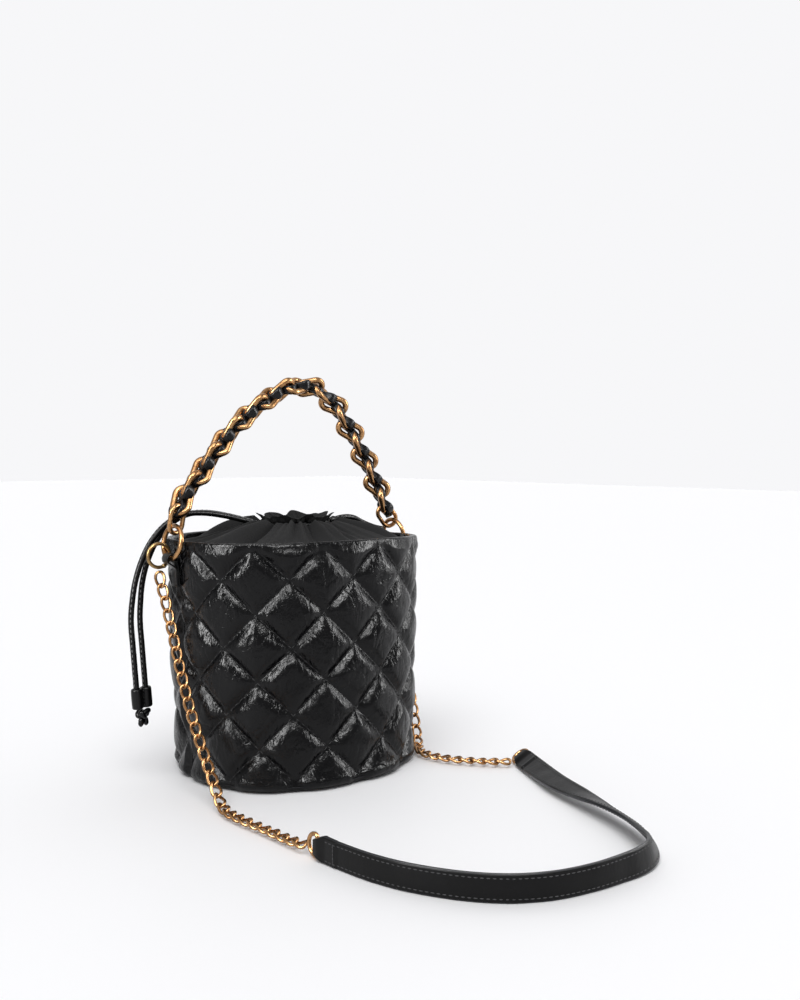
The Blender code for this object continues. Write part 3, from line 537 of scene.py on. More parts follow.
def quilt(u, z, shift):
    """How far the padded wall stands out, from its stitch lines to the middle of each diamond."""
    u, z = np.meshgrid(u, z)
    k = (u - shift - CROSSING_START) / CROSSING_STEP
    r = (CROSSING_TOP - z) / CROSSING_DROP
    a, b = (k + r) / 2, (k - r) / 2
    x = u * PERIMETER
    wobble = 0.012 * noise(x, z, 0.02, 1)
    da = np.abs(a + wobble - np.round(a + wobble)) * DIAMOND_SPAN
    db = np.abs(b - wobble - np.round(b - wobble)) * DIAMOND_SPAN
    rise_a = 1 - np.exp(-(da / SHOULDER) ** 1.35)
    rise_b = 1 - np.exp(-(db / SHOULDER) ** 1.35)
    seeds = np.random.default_rng(SEED).uniform(-1, 1, (64, 64, 3))
    tilt = seeds[np.floor(a).astype(int) % 64, np.floor(b).astype(int) % 64]
    inside_a, inside_b = a - np.floor(a) - 0.5, b - np.floor(b) - 0.5
    puff = PUFF * (1 + 0.1 * tilt[..., 0]) * rise_a * rise_b
    puff += 0.0016 * (tilt[..., 1] * inside_a + tilt[..., 2] * inside_b) * rise_a * rise_b
    near = np.minimum(da, db)
    line = np.where(da < db, b, a) * DIAMOND_SPAN
    pull = np.sin(line / 0.0024 + 5 * noise(x, z, 0.016, 2)) * np.exp(-(near / 0.0075) ** 2)
    pull = pull * (near / 0.004)
    puff += 0.00013 * np.clip(pull, -2, 2) * (0.6 + noise(x, z, 0.03, 3))
    crumple = np.abs(noise(x + 0.3 * z, z, 0.011, 4)) + 0.5 * np.abs(noise(x, z, 0.0057, 5))
    puff -= 0.00025 * np.exp(-(crumple / 0.2) ** 2) * rise_a * rise_b
    puff += 0.0007 * noise(x, z, 0.024, 6) * rise_a * rise_b
    return puff


def panel(name, first, shift, node):
    """Half of the quilted wall with its rolled base edge, turned rim and plain inner side."""
    u = np.linspace(first + PANEL_SPAN[0], first + PANEL_SPAN[1], PANEL_COLUMNS)
    z = np.linspace(*PANEL_HEIGHTS, PANEL_ROWS)
    edge = np.minimum(u - first, first + 0.5 - u) * PERIMETER
    fade = smooth(0, 0.007, edge)[None] * smooth(-0.006, 0.009, z)[:, None]
    fade = fade * (0.2 + 0.8 * smooth(0, 0.012, 0.199 - z))[:, None]
    ease = 1.7 * (1 - smooth(0.004, 0.014, z)) + 1.9 * smooth(0.184, 0.195, z)
    outer = -STITCH_INSET + ease[:, None] * MM + quilt(u, z, shift) * fade
    place = wall_points(u, z, np.zeros(PANEL_ROWS))
    from_tab = np.abs(place[..., 1] - np.where(place[..., 0] < 0, RING_FEET[-1].y, RING_FEET[1].y))
    reach = (0.0065 + 0.011 * smooth(0.163, 0.172, z))[:, None]
    under_tab = (1 - smooth(reach, reach + 0.0045, from_tab)) * smooth(0.150, 0.158, z)[:, None]
    outer = outer - (outer + UNDER_TAB) * under_tab * (outer > -UNDER_TAB)
    ripple = 0.0004 * noise(u * PERIMETER, 0, 0.02, 9)
    share = np.linspace(0.2, 1, len(RIM_PROFILE)) ** 0.7
    rim_out = [outer[-1] * (1 - k) + (out * MM - 0.0006 + ripple) * k for k, (_, out) in zip(share, RIM_PROFILE)]
    base_out = [outer[0] * k + out * MM * (1 - k) for k, (_, out) in zip(BASE_SHARES, BASE_PROFILE)]
    inner_out = [np.full(PANEL_COLUMNS, -WALL)] * len(INNER_HEIGHTS)
    base_z, rim_z = ([height * MM for height, _ in profile] for profile in (BASE_PROFILE, RIM_PROFILE))
    heights = np.concatenate([base_z, z, rim_z, np.array(INNER_HEIGHTS) * MM])
    points = wall_points(u, heights, base_out + list(outer) + rim_out + inner_out)
    behind = np.exp(-((points[..., 1] - RIM_DIP_Y) / RIM_DIP_SPAN) ** 2) * (points[..., 0] > 0)
    points[..., 2] -= RIM_DIP * behind * smooth(0.180, 0.196, heights)[:, None]
    run = np.broadcast_to((u * PERIMETER)[None], points.shape[:2])
    height = np.broadcast_to(heights[:, None], points.shape[:2])
    made = grid(name, points.transpose(1, 0, 2), BAG_LEATHER, "bag", wrap_cols=True, caps=True,
                uv=np.stack([run, height], -1).transpose(1, 0, 2))
    stand_in(made, node)
    return made


def stitches(name, places, directions, ups, length, width, mat, body):
    """Short threads that lie on a surface, each with its direction and the surface's outward one."""
    rows, sides = 5, 6
    t = np.linspace(-1, 1, rows)
    bow = np.sqrt(np.clip(1 - t ** 2, 0.06, 1))
    ring = circle(1, sides)
    points, faces = [], []
    for place, direction, up in zip(places, directions, ups):
        side = np.cross(direction, up)
        start = len(points) * rows * sides
        centre = place + np.outer(t, direction) * length / 2 + np.outer(bow - 0.6, up) * width / 3
        section = (side * ring[:, :1] + up * ring[:, 1:])[None] * (bow * width / 2)[:, None, None]
        points.append(centre[:, None] + section)
        faces += grid_faces(rows, sides, True, False, start)
        faces += [tuple(range(start, start + sides))[::-1],
                  tuple(range(start + (rows - 1) * sides, start + rows * sides))]
    return finish_mesh(name, np.array(points).reshape(-1, 3), faces, mat, body)


def quilt_stitches(name, first, shift):
    """The threads along the stitch lines of one panel."""
    places, directions, ups = [], [], []
    step = 1.5 * MM
    surface, deep = -STITCH_INSET + 0.0001, -STITCH_INSET - 0.002
    down = np.arange(0, 0.21, STITCH_PITCH)
    for sign in (1, -1):
        for line in range(-40, 60):
            z = CROSSING_TOP - down
            u = shift + CROSSING_START + CROSSING_STEP * (2 * line - sign * down / CROSSING_DROP)
            keep = (u > first + 0.006) & (u < first + 0.494) & (z > 0.008) & (z < 0.193)
            for share, height in zip(u[keep], z[keep]):
                next_share = share + sign * CROSSING_STEP * step / CROSSING_DROP
                here = wall_points([share], [height], [surface])[0, 0]
                ahead = wall_points([next_share], [height + step], [surface])[0, 0]
                below = wall_points([share], [height], [deep])[0, 0]
                places.append(here)
                directions.append(unit(ahead - here))
                ups.append(unit(here - below))
    made = stitches(name, places, directions, ups, 0.0032, 0.0007, DARK_THREAD, "bag")


def ring_rows(name, profile, wave, mat, node, columns=360):
    """A closed band round the bag from a profile of (height, offset)."""
    u = np.arange(columns) / columns
    out = [o + wave * noise(u * PERIMETER, h, 0.02, 11) * (1 - 0.5 * (i > len(profile) / 2))
           for i, (h, o) in enumerate(profile)]
    made = grid(name, wall_points(u, [h for h, _ in profile], out), mat, "bag", wrap_cols=True, wrap_rows=True)
    stand_in(made, node)


def make_body():
    for name, first, shift, node in (("front_quilted_leather", -0.25, 0.0, "front_quilted_panel"),
                                     ("back_quilted_leather", 0.25, BACK_SHIFT, "back_quilted_panel")):
        panel(name, first, shift, node)
        quilt_stitches(name + "_stitches", first, shift)
    heights = [163.3 + (199.0 - 163.3) * i / 10 for i in range(11)]
    outer = [(h * MM, -INNER_OFFSET) for h in heights]
    inner = [(h * MM, -INNER_OFFSET - 1.7 * MM) for h in heights[::-1]]
    facing = outer + [(199.7 * MM, -INNER_OFFSET - 0.8 * MM)] + inner
    ring_rows("facing_band", facing, 0.0003, BAG_LEATHER, "rim_facing")
    outer = [(h * MM, -INNER_OFFSET) for h in (4.6, 40, 80, 120, 162.8)]
    inner = [(h, o - 0.9 * MM) for h, o in outer[::-1]]
    ring_rows("lining_wall", outer + inner, 0.0004, LINING, "lining")
    disc("lining_floor", [(4.5, 1.0), (4.6, 0.97), (4.8, 0.9), (4.8, 0.5), (4.8, 0.02)], LINING,
         None)
    disc("base_leather", [(2.3, 0.2), (2.3, 0.93), (2.0, 0.94), (0.9, 0.945), (0.4, 0.94), (0.2, 0.92),
                          (0.15, 0.9), (0.45, 0.885), (0.45, 0.87), (0.1, 0.855), (0.05, 0.4), (0.05, 0.02)],
         BAG_LEATHER, "base_panel")
    disc("stiffener", [(2.75, 0.02), (2.75, 0.94), (3.0, 0.955), (3.9, 0.955), (4.15, 0.94), (4.15, 0.02)],
         plain("stiffener board", (0.2, 0.16, 0.12), 0.8), "base_board")


def disc(name, rows, mat, node):
    """A flat piece with the bag's outline, from rows of height in millimetres and share of the outline."""
    columns = 240
    base = wall_points(np.arange(columns) / columns, [0.0], [0.0])[0]
    points = np.array([np.column_stack([base[:, :2] * share, np.full(columns, h * MM)]) for h, share in rows])
    made = grid(name, points, mat, "bag", wrap_cols=True, caps=True)
    stand_in(made, node)


# ---------------------------------------------------------------- the gathered top

def waves(angle, table):
    return sum(size * np.sin(count * angle + phase) for size, count, phase in table)


def make_closure():
    """The gathered cloth: pleats from the facing to the neck, and a ruffle above the cord."""
    u = np.arange(CLOSURE_COLUMNS) / CLOSURE_COLUMNS
    rim = wall_points(u, [170 * MM, 180 * MM, 188 * MM, 193 * MM, 196 * MM],
                      [-7.1 * MM] * 3 + [-8.5 * MM, -12 * MM])
    start = rim[-1]
    angle = np.unwrap(np.arctan2(start[:, 1], start[:, 0]))
    warp = angle + 0.1 * noise(u * 12, 0, 1, 21) * np.sin(np.pi * u) + 0.05 * np.sin(3 * angle)
    pleat, big, soft = (waves(warp, table) for table in (PLEAT_WAVES, BROAD_WAVES, SOFT_WAVES))
    direction = np.column_stack([np.cos(angle), np.sin(angle), np.zeros(CLOSURE_COLUMNS)])
    neck = direction * (NECK_RADIUS + 1 * MM) + np.array([0, 0, 205.5 * MM])
    rows = list(rim)
    for i in range(1, FUNNEL_ROWS + 1):
        t = i / FUNNEL_ROWS
        place = start * (1 - t) + neck * t
        hill = start[:, 2] + (FOLD_TOP - start[:, 2]) * t ** 1.15
        place[:, 2] = hill - FOLD_DROP * smooth(0.84, 1.0, t)
        deep = 0.0005 + 0.0034 * t ** 0.8 * (1 - smooth(0.85, 1, t))
        place[:, 2] += deep * pleat * (1 - 0.5 * t) + 0.0045 * big * np.sin(np.pi * t ** 0.8) ** 1.2
        place[:, 2] += 0.001 * noise(u * 40, t * 3, 1, 22) * np.sin(np.pi * t)
        place += direction * (0.0026 * pleat * t ** 3)[:, None]
        rows.append(place)
    for z, radius, amount in ((206, 26, 1.0), (208.5, 25.2, 0.9), (211, 25.6, 1.0)):
        rows.append(direction * (radius * MM - 1.2 * MM + 0.0019 * pleat * amount)[:, None]
                    + np.array([0, 0, z * MM]))
    for i in range(1, RUFFLE_ROWS + 1):
        t = i / RUFFLE_ROWS
        radius = 25.5 * MM + 5.5 * MM * t ** 0.8 + (0.0019 - 0.0014 * t) * pleat + 0.0032 * t * soft
        z = 211 * MM + 5.5 * MM * np.sin(0.5 * np.pi * t) + 0.002 * t * soft + 0.0003 * t * np.sin(17 * warp)
        rows.append(direction * radius[:, None] + np.stack([0 * z, 0 * z, z], 1))
    crest = rows[-1]
    for i in range(1, RUFFLE_ROWS + 1):
        t = i / RUFFLE_ROWS
        middle = direction * (5.5 * MM + 0.0012 * pleat)[:, None]
        place = crest * (1 - t) + middle * t
        place[:, 2] = crest[:, 2] * (1 - t) + 209.5 * MM * t - 0.004 * np.sin(np.pi * t)
        place[:, 2] += 0.0016 * pleat * np.sin(np.pi * t) * (1 - 0.3 * t)
        rows.append(place)
    for z in (206, 203):
        rows.append(direction * (6.5 * MM + 0.0012 * pleat)[:, None] + np.array([0, 0, z * MM]))
    made = grid("gathered_cloth", np.array(rows), CLOTH, None, wrap_cols=True)
    thick = made.modifiers.new("cloth", "SOLIDIFY")
    thick.thickness = CLOTH_THICKNESS
    thick.offset = 0
    stand_in(made, "gathered_closure", "bag")


# ---------------------------------------------------------------- drawstring

def stitched_cord(name, line, node, phase=0.0):
    """A round leather cord with a seam of pale stitches along it."""
    cord = tube(name, line, CORD_RADIUS, CORD_LEATHER, "bag", 20)
    stand_in(cord, node)
    side, up = frames_along(line, (-0.6, -0.7, 0.5))
    lengths = along(line)
    at = np.arange(0.004, lengths[-1] - 0.003, 0.0042)
    turn = phase + 0.35 * np.sin(at * 30)
    place, s, n = resample(line, lengths, at), resample(side, lengths, at), resample(up, lengths, at)
    out = unit(s * np.cos(turn)[:, None] + n * np.sin(turn)[:, None])
    run = resample(tangents(line), lengths, at)
    seam = stitches(name + "_stitches", place + out * (CORD_RADIUS + 0.0001), unit(run), out, 0.0026, 0.0008,
                    PALE_THREAD, "bag")
    return cord, seam, lengths[-1]


def make_drawstring():
    radius = NECK_RADIUS + CORD_RADIUS + 0.3 * MM
    angles = np.radians(np.linspace(*LOOP_ANGLES, 90))
    loop = np.stack([radius * np.cos(angles), radius * np.sin(angles), np.full(90, NECK_MIDDLE)], 1)
    loop[:, 2] += 0.0008 * np.sin(3 * angles)
    stitched_cord("neck_cord", loop, "drawstring_loop")
    slider = make_slider()
    knot = make_knot()
    front = np.array(TAIL_ROUTE) * MM
    rear = front + np.array(REAR_TAIL_OFFSETS) * MM
    for word, points, others in (("front", front, [knot, slider]), ("rear", rear, [])):
        line = spline(points, CORD_STEP)
        cord, seam, length = stitched_cord(f"{word}_tail", line, f"drawstring_{word}_tail", 0.2)
    line = spline(np.array(RIGHT_RUN_ROUTE) * MM, CORD_STEP)
    cord, seam, length = stitched_cord("right_run", line, "drawstring_right_run")


def tail_frame():
    low, high = np.array(TAIL_ROUTE[-2]) * MM, np.array(TAIL_ROUTE[-4]) * MM
    up = unit(high - low)
    front = low + up * ((SLIDER_LOW - low[2]) / up[2])
    rear = front + np.array(REAR_TAIL_OFFSETS[-1]) * MM
    return up, front, rear


def make_slider():
    """Two leather tubes side by side, stitched together down the middle."""
    up, front, rear = tail_frame()
    pieces = []
    across = unit(rear - front - up * np.dot(rear - front, up))
    depth = np.cross(up, across)
    for number, place in enumerate((front, rear)):
        rows = []
        for h, r in SLIDER_PROFILE:
            ring = circle(r, 32)
            rows.append(place + up * h * MM + across * ring[:, :1] + depth * ring[:, 1:])
        tube_mesh = grid(f"slider_tube_{number}", np.array(rows), CORD_LEATHER, None, wrap_cols=True,
                         wrap_rows=True)
        pieces.append(tube_mesh)
    middle = (front + rear) / 2
    at = np.arange(2.5, 15.5, 3) * MM
    for side in (-1, 1):
        out = depth * side
        pieces.append(stitches(f"slider_stitches_{side}", middle + np.outer(at, up) + out * 0.0026,
                               [up] * len(at), [out] * len(at), 0.0022, 0.0008, DARK_THREAD, None))
    made = join(pieces, "slider_leather")
    stand_in(made, "drawstring_slider", "slider")
    return made


def make_knot():
    """An overhand knot of both tails with two short cut ends below."""
    up, front, rear = tail_frame()
    middle = (front + rear) / 2 - up * KNOT_DROP
    vertical = np.array([0, 0, 1.0])
    across = unit(rear - front)
    depth = np.cross(vertical, across)
    t = np.linspace(0, 2 * np.pi, 140)
    knot = np.stack([2.6 * np.cos(t) + 2.9 * np.cos(2 * t), 1.1 * np.sin(t) - 2.0 * np.sin(2 * t),
                     1.7 * np.sin(3 * t) + 0.3], 1) * MM
    knot[:, 0] *= 1.15
    line = middle + knot[:, :1] * across + knot[:, 1:2] * depth + knot[:, 2:] * vertical
    pieces = [tube("knot_turns", line, KNOT_CORD, CORD_LEATHER, None, 16, (0.1, 0.2, 1))]
    for side, lean in ((-1, 0.12), (1, 0.3)):
        start = middle + across * side * 2.2 * MM - np.array([0, 0, 2.5 * MM])
        end = start + across * side * lean * 5 * MM - np.array([0, 0, 8.2 * MM])
        line = np.linspace(start, end, 14)
        pieces.append(tube(f"knot_end_{side}", line, KNOT_CORD, CORD_LEATHER, None, 16, (1, 0, 0)))
    made = join(pieces, "knot_leather")
    stand_in(made, "drawstring_knot", "bag")
    return made


# ---------------------------------------------------------------- rings, tabs and clasps

def ring_frame(side):
    foot = RING_FEET[side]
    across = RING_FEET[1] - RING_FEET[-1]
    flat = Matrix.Rotation(RING_TURN, 3, "Z") @ Vector((across.x, across.y, 0)).normalized()
    level = Vector((0, 0, 1)).cross(flat)
    up = Vector((0, 0, math.cos(RING_LEAN))) - side * math.sin(RING_LEAN) * flat
    return foot + RING_RADIUS * up, level, up


def arc(centre, level, up, radius, start, end, steps):
    a = np.linspace(start, end, steps)
    outward = np.outer(np.sin(a), level) + np.outer(np.cos(a), up)
    return np.array(centre) + radius * outward, outward, np.array(level.cross(up))


def make_ring(side, word):
    centre, level, up = ring_frame(side)
    line, outward, normal = arc(centre, level, up, RING_RADIUS, 0, 2 * np.pi, 97)
    made = sweep(f"{word}_big_ring", line[:-1], outward[:-1], np.tile(normal, (96, 1)),
                 circle(RING_WIRE / 2, 20), GOLD, f"{word}_ring", closed=True)
    stand_in(made, f"{word}_ring")


def clasp_frame(side):
    centre = ring_frame(side)[0] + Vector((side * CLASP_OFFSET.x, -side * CLASP_OFFSET.y, CLASP_OFFSET.z))
    inward = -side * Vector((math.cos(CLASP_YAW), math.sin(CLASP_YAW), 0))
    return centre, inward, Vector((0, 0, 1))


def ball(name, place, radius, axis):
    """A small turned bead with a collar at each side."""
    axis = unit(np.array(axis))
    side = unit(np.cross(axis, (0.3, 0.2, 0.9)))
    up = np.cross(axis, side)
    rows = []
    for h, r in BEAD_PROFILE:
        ring = circle(r * radius, 20)
        rows.append(np.array(place) + axis * h * radius + side * ring[:, :1] + up * ring[:, 1:])
    return grid(name, np.array(rows), BRASS, None, wrap_cols=True, caps=True)


def make_clasp(side, word):
    centre, inward, up = clasp_frame(side)
    low, high = (math.radians(a) for a in CLASP_GATE)
    line, outward, normal = arc(centre, inward, up, CLASP_RADIUS, high, low + 2 * np.pi, 73)
    body = sweep(f"{word}_clasp_body", line, outward, np.tile(normal, (73, 1)), circle(CLASP_WIRE / 2, 20),
                 BRASS, None)
    bead = ball(f"{word}_clasp_bead", line[0], BEAD_RADIUS, line[1] - line[0])
    knuckle = ball(f"{word}_clasp_knuckle", line[-1], KNUCKLE_RADIUS, line[-1] - line[-2])
    body = join([body, bead, knuckle], f"{word}_clasp_body")
    stand_in(body, f"{word}_clasp", f"{word}_clasp")
    line, outward, normal = arc(centre, inward, up, CLASP_RADIUS, low + CLASP_HINGE_GAP / CLASP_RADIUS,
                                high - CLASP_TIP_GAP / CLASP_RADIUS, 33)
    swell = 1 + 0.1 * np.sin(np.linspace(0, np.pi, 33))
    gate = sweep(f"{word}_clasp_wire_gate", line, outward, np.tile(normal, (33, 1)),
                 circle(CLASP_GATE_WIRE / 2, 16)[None] * swell[:, None, None], BRASS, f"{word}_gate")
    stand_in(gate, f"{word}_clasp_gate")


def make_tab(side, word):
    """A doubled leather strip round the big ring, with two rows of stitches."""
    wire = np.array(RING_FEET[side])
    out = np.array([side, 0.0, 0.0])
    upward = np.array([0, 0, 1.0])
    shoulder = wire[2] - TAB_LOOP * TAB_SHOULDER
    inner_low, inner_high = (np.array([side * (half_axes(z)[0] + TAB_INNER), wire[1], z])
                             for z in (TAB_LOW, shoulder))
    outer_low, outer_high = (place + out * TAB_OUTER * MM for place in (inner_low, inner_high))
    line = [outer_low, outer_low * 0.5 + outer_high * 0.5, outer_high]
    for i in range(25):
        a = math.radians(-35 + 250 * i / 24)
        p = wire + out * TAB_LOOP * math.cos(a) + upward * TAB_LOOP * math.sin(a)
        if abs(p[0]) > abs(inner_high[0]) or p[2] > wire[2]:
            line.append(p)
    line = spline(line + [inner_high, inner_low], 0.0008)
    up = np.tile((0.0, 1.0, 0.0), (len(line), 1))
    sides = unit(np.cross(up, tangents(line)))
    section = rounded_box(TAB_LAYER / 2, TAB_HALF_WIDTH, 0.6 * MM)
    pieces = [sweep(f"{word}_tab_leather", line, sides, up, section, STRAP_LEATHER, None)]
    at = np.arange(3, 18, 2.6) * MM
    direction = unit(outer_high - outer_low)
    face = unit(np.cross(np.array([0, 1.0, 0]), direction)) * side
    face = face if np.dot(face, out) > 0 else -face
    for shift in (-TAB_SEAM, TAB_SEAM):
        base = outer_low + np.array([0, shift * MM, 0]) + face * (TAB_LAYER / 2 + 0.0001)
        pieces.append(stitches(f"{word}_tab_row_{shift}", base + np.outer(at, direction),
                               [direction] * len(at), [face] * len(at), 0.002, 0.0007, STRAP_THREAD, None))
    made = join(pieces, f"{word}_tab_leather")
    stand_in(made, f"{word}_side_tab", "bag")


# ---------------------------------------------------------------- handle

def stadium(length, width, arc_steps, straight_steps):
    radius, reach = width / 2, (length - width) / 2
    points, outward = [], []
    for end, turn in ((1, 0), (-1, math.pi)):
        for i in range(arc_steps + 1):
            a = math.radians(-90 + 180 * i / arc_steps) + turn
            outward.append((math.cos(a), math.sin(a)))
            points.append((end * reach + radius * outward[-1][0], radius * outward[-1][1]))
        for i in range(1, straight_steps):
            outward.append((0.0, float(end)))
            points.append((end * reach * (1 - 2 * i / straight_steps), radius * end))
    return np.array(points), np.array(outward)


def handle_line():
    axis = ring_frame(1)[0] - ring_frame(-1)[0]
    flat = Vector((axis.x, axis.y, 0)).normalized()
    hook = RING_RADIUS - RING_WIRE / 2 - LINK_WIRE / 2 - HOOK_GAP
    centre, _, up = ring_frame(-1)
    start = centre + hook * up
    return spline([start + flat * s * MM + Vector((0, 0, z * MM)) for s, z in HANDLE_ROUTE], 0.5 * MM), axis


def turned(run, front, outward, turns):
    roll, tilt, yaw = (math.radians(a) for a in turns)
    turn = Matrix.Rotation(-tilt, 3, "Y") @ Matrix.Rotation(yaw, 3, "Z")
    found = []
    for v in (turn @ Vector((1, 0, 0)), turn @ Vector((0, math.sin(roll), math.cos(roll)))):
        found.append(run * v.x + front * v.y + outward * v.z)
    return found


def make_handle():
    line, axis = handle_line()
    lengths = along(line)
    run = tangents(line)
    front = -np.array(Vector((0, 0, 1)).cross(axis).normalized())
    pitch = (lengths[-1] - LINK_LENGTH) / (LINK_COUNT - 1)
    for i in range(LINK_COUNT):
        at = [LINK_LENGTH / 2 + pitch * i]
        here = resample(line, lengths, at)[0]
        t = unit(resample(run, lengths, at)[0])
        outward = unit(np.cross(front, t))
        turns, shift = END_LINKS.get(i, (LINK_TURNS[i % 2], (0, 0, 0)))
        here = here + (t * shift[0] + front * shift[1] + outward * shift[2]) * MM
        length_axis, width_axis = turned(t, front, outward, turns)
        width = END_LINK_WIDTH if i in END_LINKS else LINK_WIDTH
        shape, out = stadium(LINK_LENGTH, width, 16, 5)
        centres = here + shape[:, :1] * length_axis + shape[:, 1:] * width_axis
        sides = out[:, :1] * length_axis + out[:, 1:] * width_axis
        ups = np.tile(np.cross(length_axis, width_axis), (len(centres), 1))
        radius = LINK_WIRE / 2 + (-END_LINK_SLACK if i in END_LINKS else LINK_SWELL)
        made = sweep(f"gold_link_{i + 1:02d}", centres, sides, ups, circle(radius, 16), GOLD, "handle",
                     closed=True)
        stand_in(made, f"handle_link_{i + 1:02d}")
    make_lace(line, lengths, run, front, pitch)


def make_lace(line, lengths, run, front, pitch):
    """Two strands of leather that weave through the links, one on each side."""
    share = np.linspace(-0.12, LINK_COUNT - 0.88, LACE_POINTS)
    at = LINK_LENGTH / 2 + pitch * share
    core = resample(line, lengths, at)
    outward = unit(np.cross(front, unit(resample(run, lengths, at))))
    wave = np.sin(np.pi * share)[:, None]
    pinch = 0.8 + 0.2 * np.abs(wave)
    section = rounded_box(LACE_THICKNESS / 2, LACE_WIDTH / 2, 1.9 * MM)[None] * pinch[:, None]
    strands = []
    for strand, (sway, rise) in enumerate(((LACE_SWAY, LACE_RISE), (-LACE_SWAY, -LACE_RISE))):
        lift = (rise + 1.6 * MM * np.cos(np.pi * share + strand))[:, None]
        centre = core - front * sway * wave + outward * lift
        t = tangents(centre)
        up = unit(outward - t * np.sum(outward * t, 1, keepdims=True))
        strands.append(sweep(f"lace_strand_{strand}", centre, np.cross(t, up), up, section, CORD_LEATHER, None))
    made = join(strands, "woven_lace")
    stand_in(made, "handle_lace", "handle")


# ---------------------------------------------------------------- chains and strap

def make_chain(name, route, node):
    """A curb chain: every link is twisted, so that it turns through the next one."""
    line = spline(np.array(route) * MM, 0.001)
    lengths = along(line)
    room = lengths[-1] - (CHAIN_LINK - CHAIN_WIRE) - 2 * CHAIN_GAP
    count = int(round(room / CHAIN_PITCH)) + 1
    pitch = room / (count - 1)
    theta = np.linspace(0, 2 * np.pi, 33)[:-1]
    half_long, half_wide = (CHAIN_LINK - CHAIN_WIRE) / 2, (CHAIN_WIDTH - CHAIN_WIRE) / 2
    x = half_long * np.copysign(np.abs(np.cos(theta)) ** 0.85, np.cos(theta))
    y = half_wide * np.copysign(np.abs(np.sin(theta)) ** 0.75, np.sin(theta))
    twist = CHAIN_TWIST * x / half_long
    flat, raised = y * np.cos(twist), y * np.sin(twist)
    rng = np.random.default_rng(SEED + 31)
    points, faces, sides = [], [], 10
    for i in range(count):
        at = CHAIN_GAP + half_long + pitch * i
        here = resample(line, lengths, [at])[0]
        ahead, behind = resample(line, lengths, [min(at + 0.004, lengths[-1]), max(at - 0.004, 0)])
        t = unit(ahead - behind)
        normal = chain_facing(here)
        normal = unit(normal - t * np.dot(normal, t))
        lean = rng.uniform(-0.14, 0.14)
        across = np.cross(normal, t)
        leaned = normal * math.cos(lean) - across * math.sin(lean)
        across = across * math.cos(lean) + normal * math.sin(lean)
        centre = here + np.outer(x, t) + np.outer(flat, across) + np.outer(raised, leaned)
        run = tangents(centre, closed=True)
        out = centre - here
        out = unit(out - run * np.sum(out * run, 1, keepdims=True))
        up = np.cross(run, out)
        ring = circle(CHAIN_WIRE / 2, sides)
        faces += grid_faces(len(x), sides, True, True, len(points) * len(x) * sides)
        points.append(centre[:, None] + out[:, None] * ring[None, :, :1] + up[:, None] * ring[None, :, 1:])
    made = finish_mesh(name, np.array(points).reshape(-1, 3), faces, GOLD, "bag")
    stand_in(made, node)


def chain_facing(here):
    """Hanging links show their flat side to the front left, and links on the floor lie flat."""
    share = float(smooth(0.012, 0.05, np.array(here[2])))
    return np.array([-0.62, -0.75, 0.1]) * share + np.array([0.0, 0.0, 1.0]) * (1 - share)


def strap_frames():
    line = spline(np.array(STRAP_ROUTE), 1.5)
    t = tangents(line[:, :2])
    run = np.column_stack([t, np.zeros(len(t))])
    left = np.column_stack([-t[:, 1], t[:, 0], np.zeros(len(t))])
    lean = np.radians(line[:, 3:4])
    vertical = np.array([[0, 0, 1.0]])
    up = vertical * np.cos(lean) + left * np.sin(lean)
    side = left * np.cos(lean) - vertical * np.sin(lean)
    resting = (STRAP_WIDTH / 2 + STRAP_LIP) * np.abs(np.cos(lean)) + STRAP_THICKNESS / 2 * np.abs(np.sin(lean))
    centre = np.column_stack([line[:, :2] * MM, np.maximum(line[:, 2] * MM, resting[:, 0])])
    return centre, run, side, up


def make_strap():
    """Leather with painted edges and seams along both sides, folded round a ring at each end."""
    centre, run, side, up = strap_frames()
    lengths = along(centre)
    near = np.minimum(lengths, lengths[-1] - lengths)
    end = np.clip((near - 2.9 * MM) / (8 * MM), 0, 1)
    width = STRAP_WIDTH * (0.64 + 0.36 * np.clip(near / 0.008, 0, 1))
    thick = STRAP_THICKNESS + (2 * STRAP_LOOP - STRAP_THICKNESS) * (1 - smooth(0, 1, end))
    folded = smooth(0, 0.0015, STRAP_FOLD - near)
    thick = thick + 1.5 * MM * folded * smooth(0, 1, end)
    wrinkle = 0.00025 * noise(lengths, 0, 0.012, 41) * smooth(0.03, 0.06, near)
    section = np.array([rounded_box(h / 2 + k, w / 2, min(STRAP_CORNER, h * 0.42), 5)
                        for w, h, k in zip(width, thick, wrinkle)])
    pieces = [sweep("strap_leather_band", centre, side, up, section, STRAP_LEATHER, None)]
    inside = near > 0.006
    edge = rounded_box(1.05 * MM, 0.45 * MM, 0.4 * MM)
    for sign in (1, -1):
        line = (centre + up * sign * (width[:, None] / 2 - 0.1 * MM))[inside]
        pieces.append(sweep(f"strap_edge_{sign}", line, side[inside], up[inside], edge, EDGE_PAINT, None))
    pieces.append(strap_stitches(centre, run, side, up, lengths, thick))
    made = join(pieces, "strap_leather_band")
    stand_in(made, "shoulder_strap", "bag")
    for word, index, towards in (("left", 0, 1), ("right", -1, -1)):
        make_d_ring(word, centre[index], run[index] * towards, up[index])


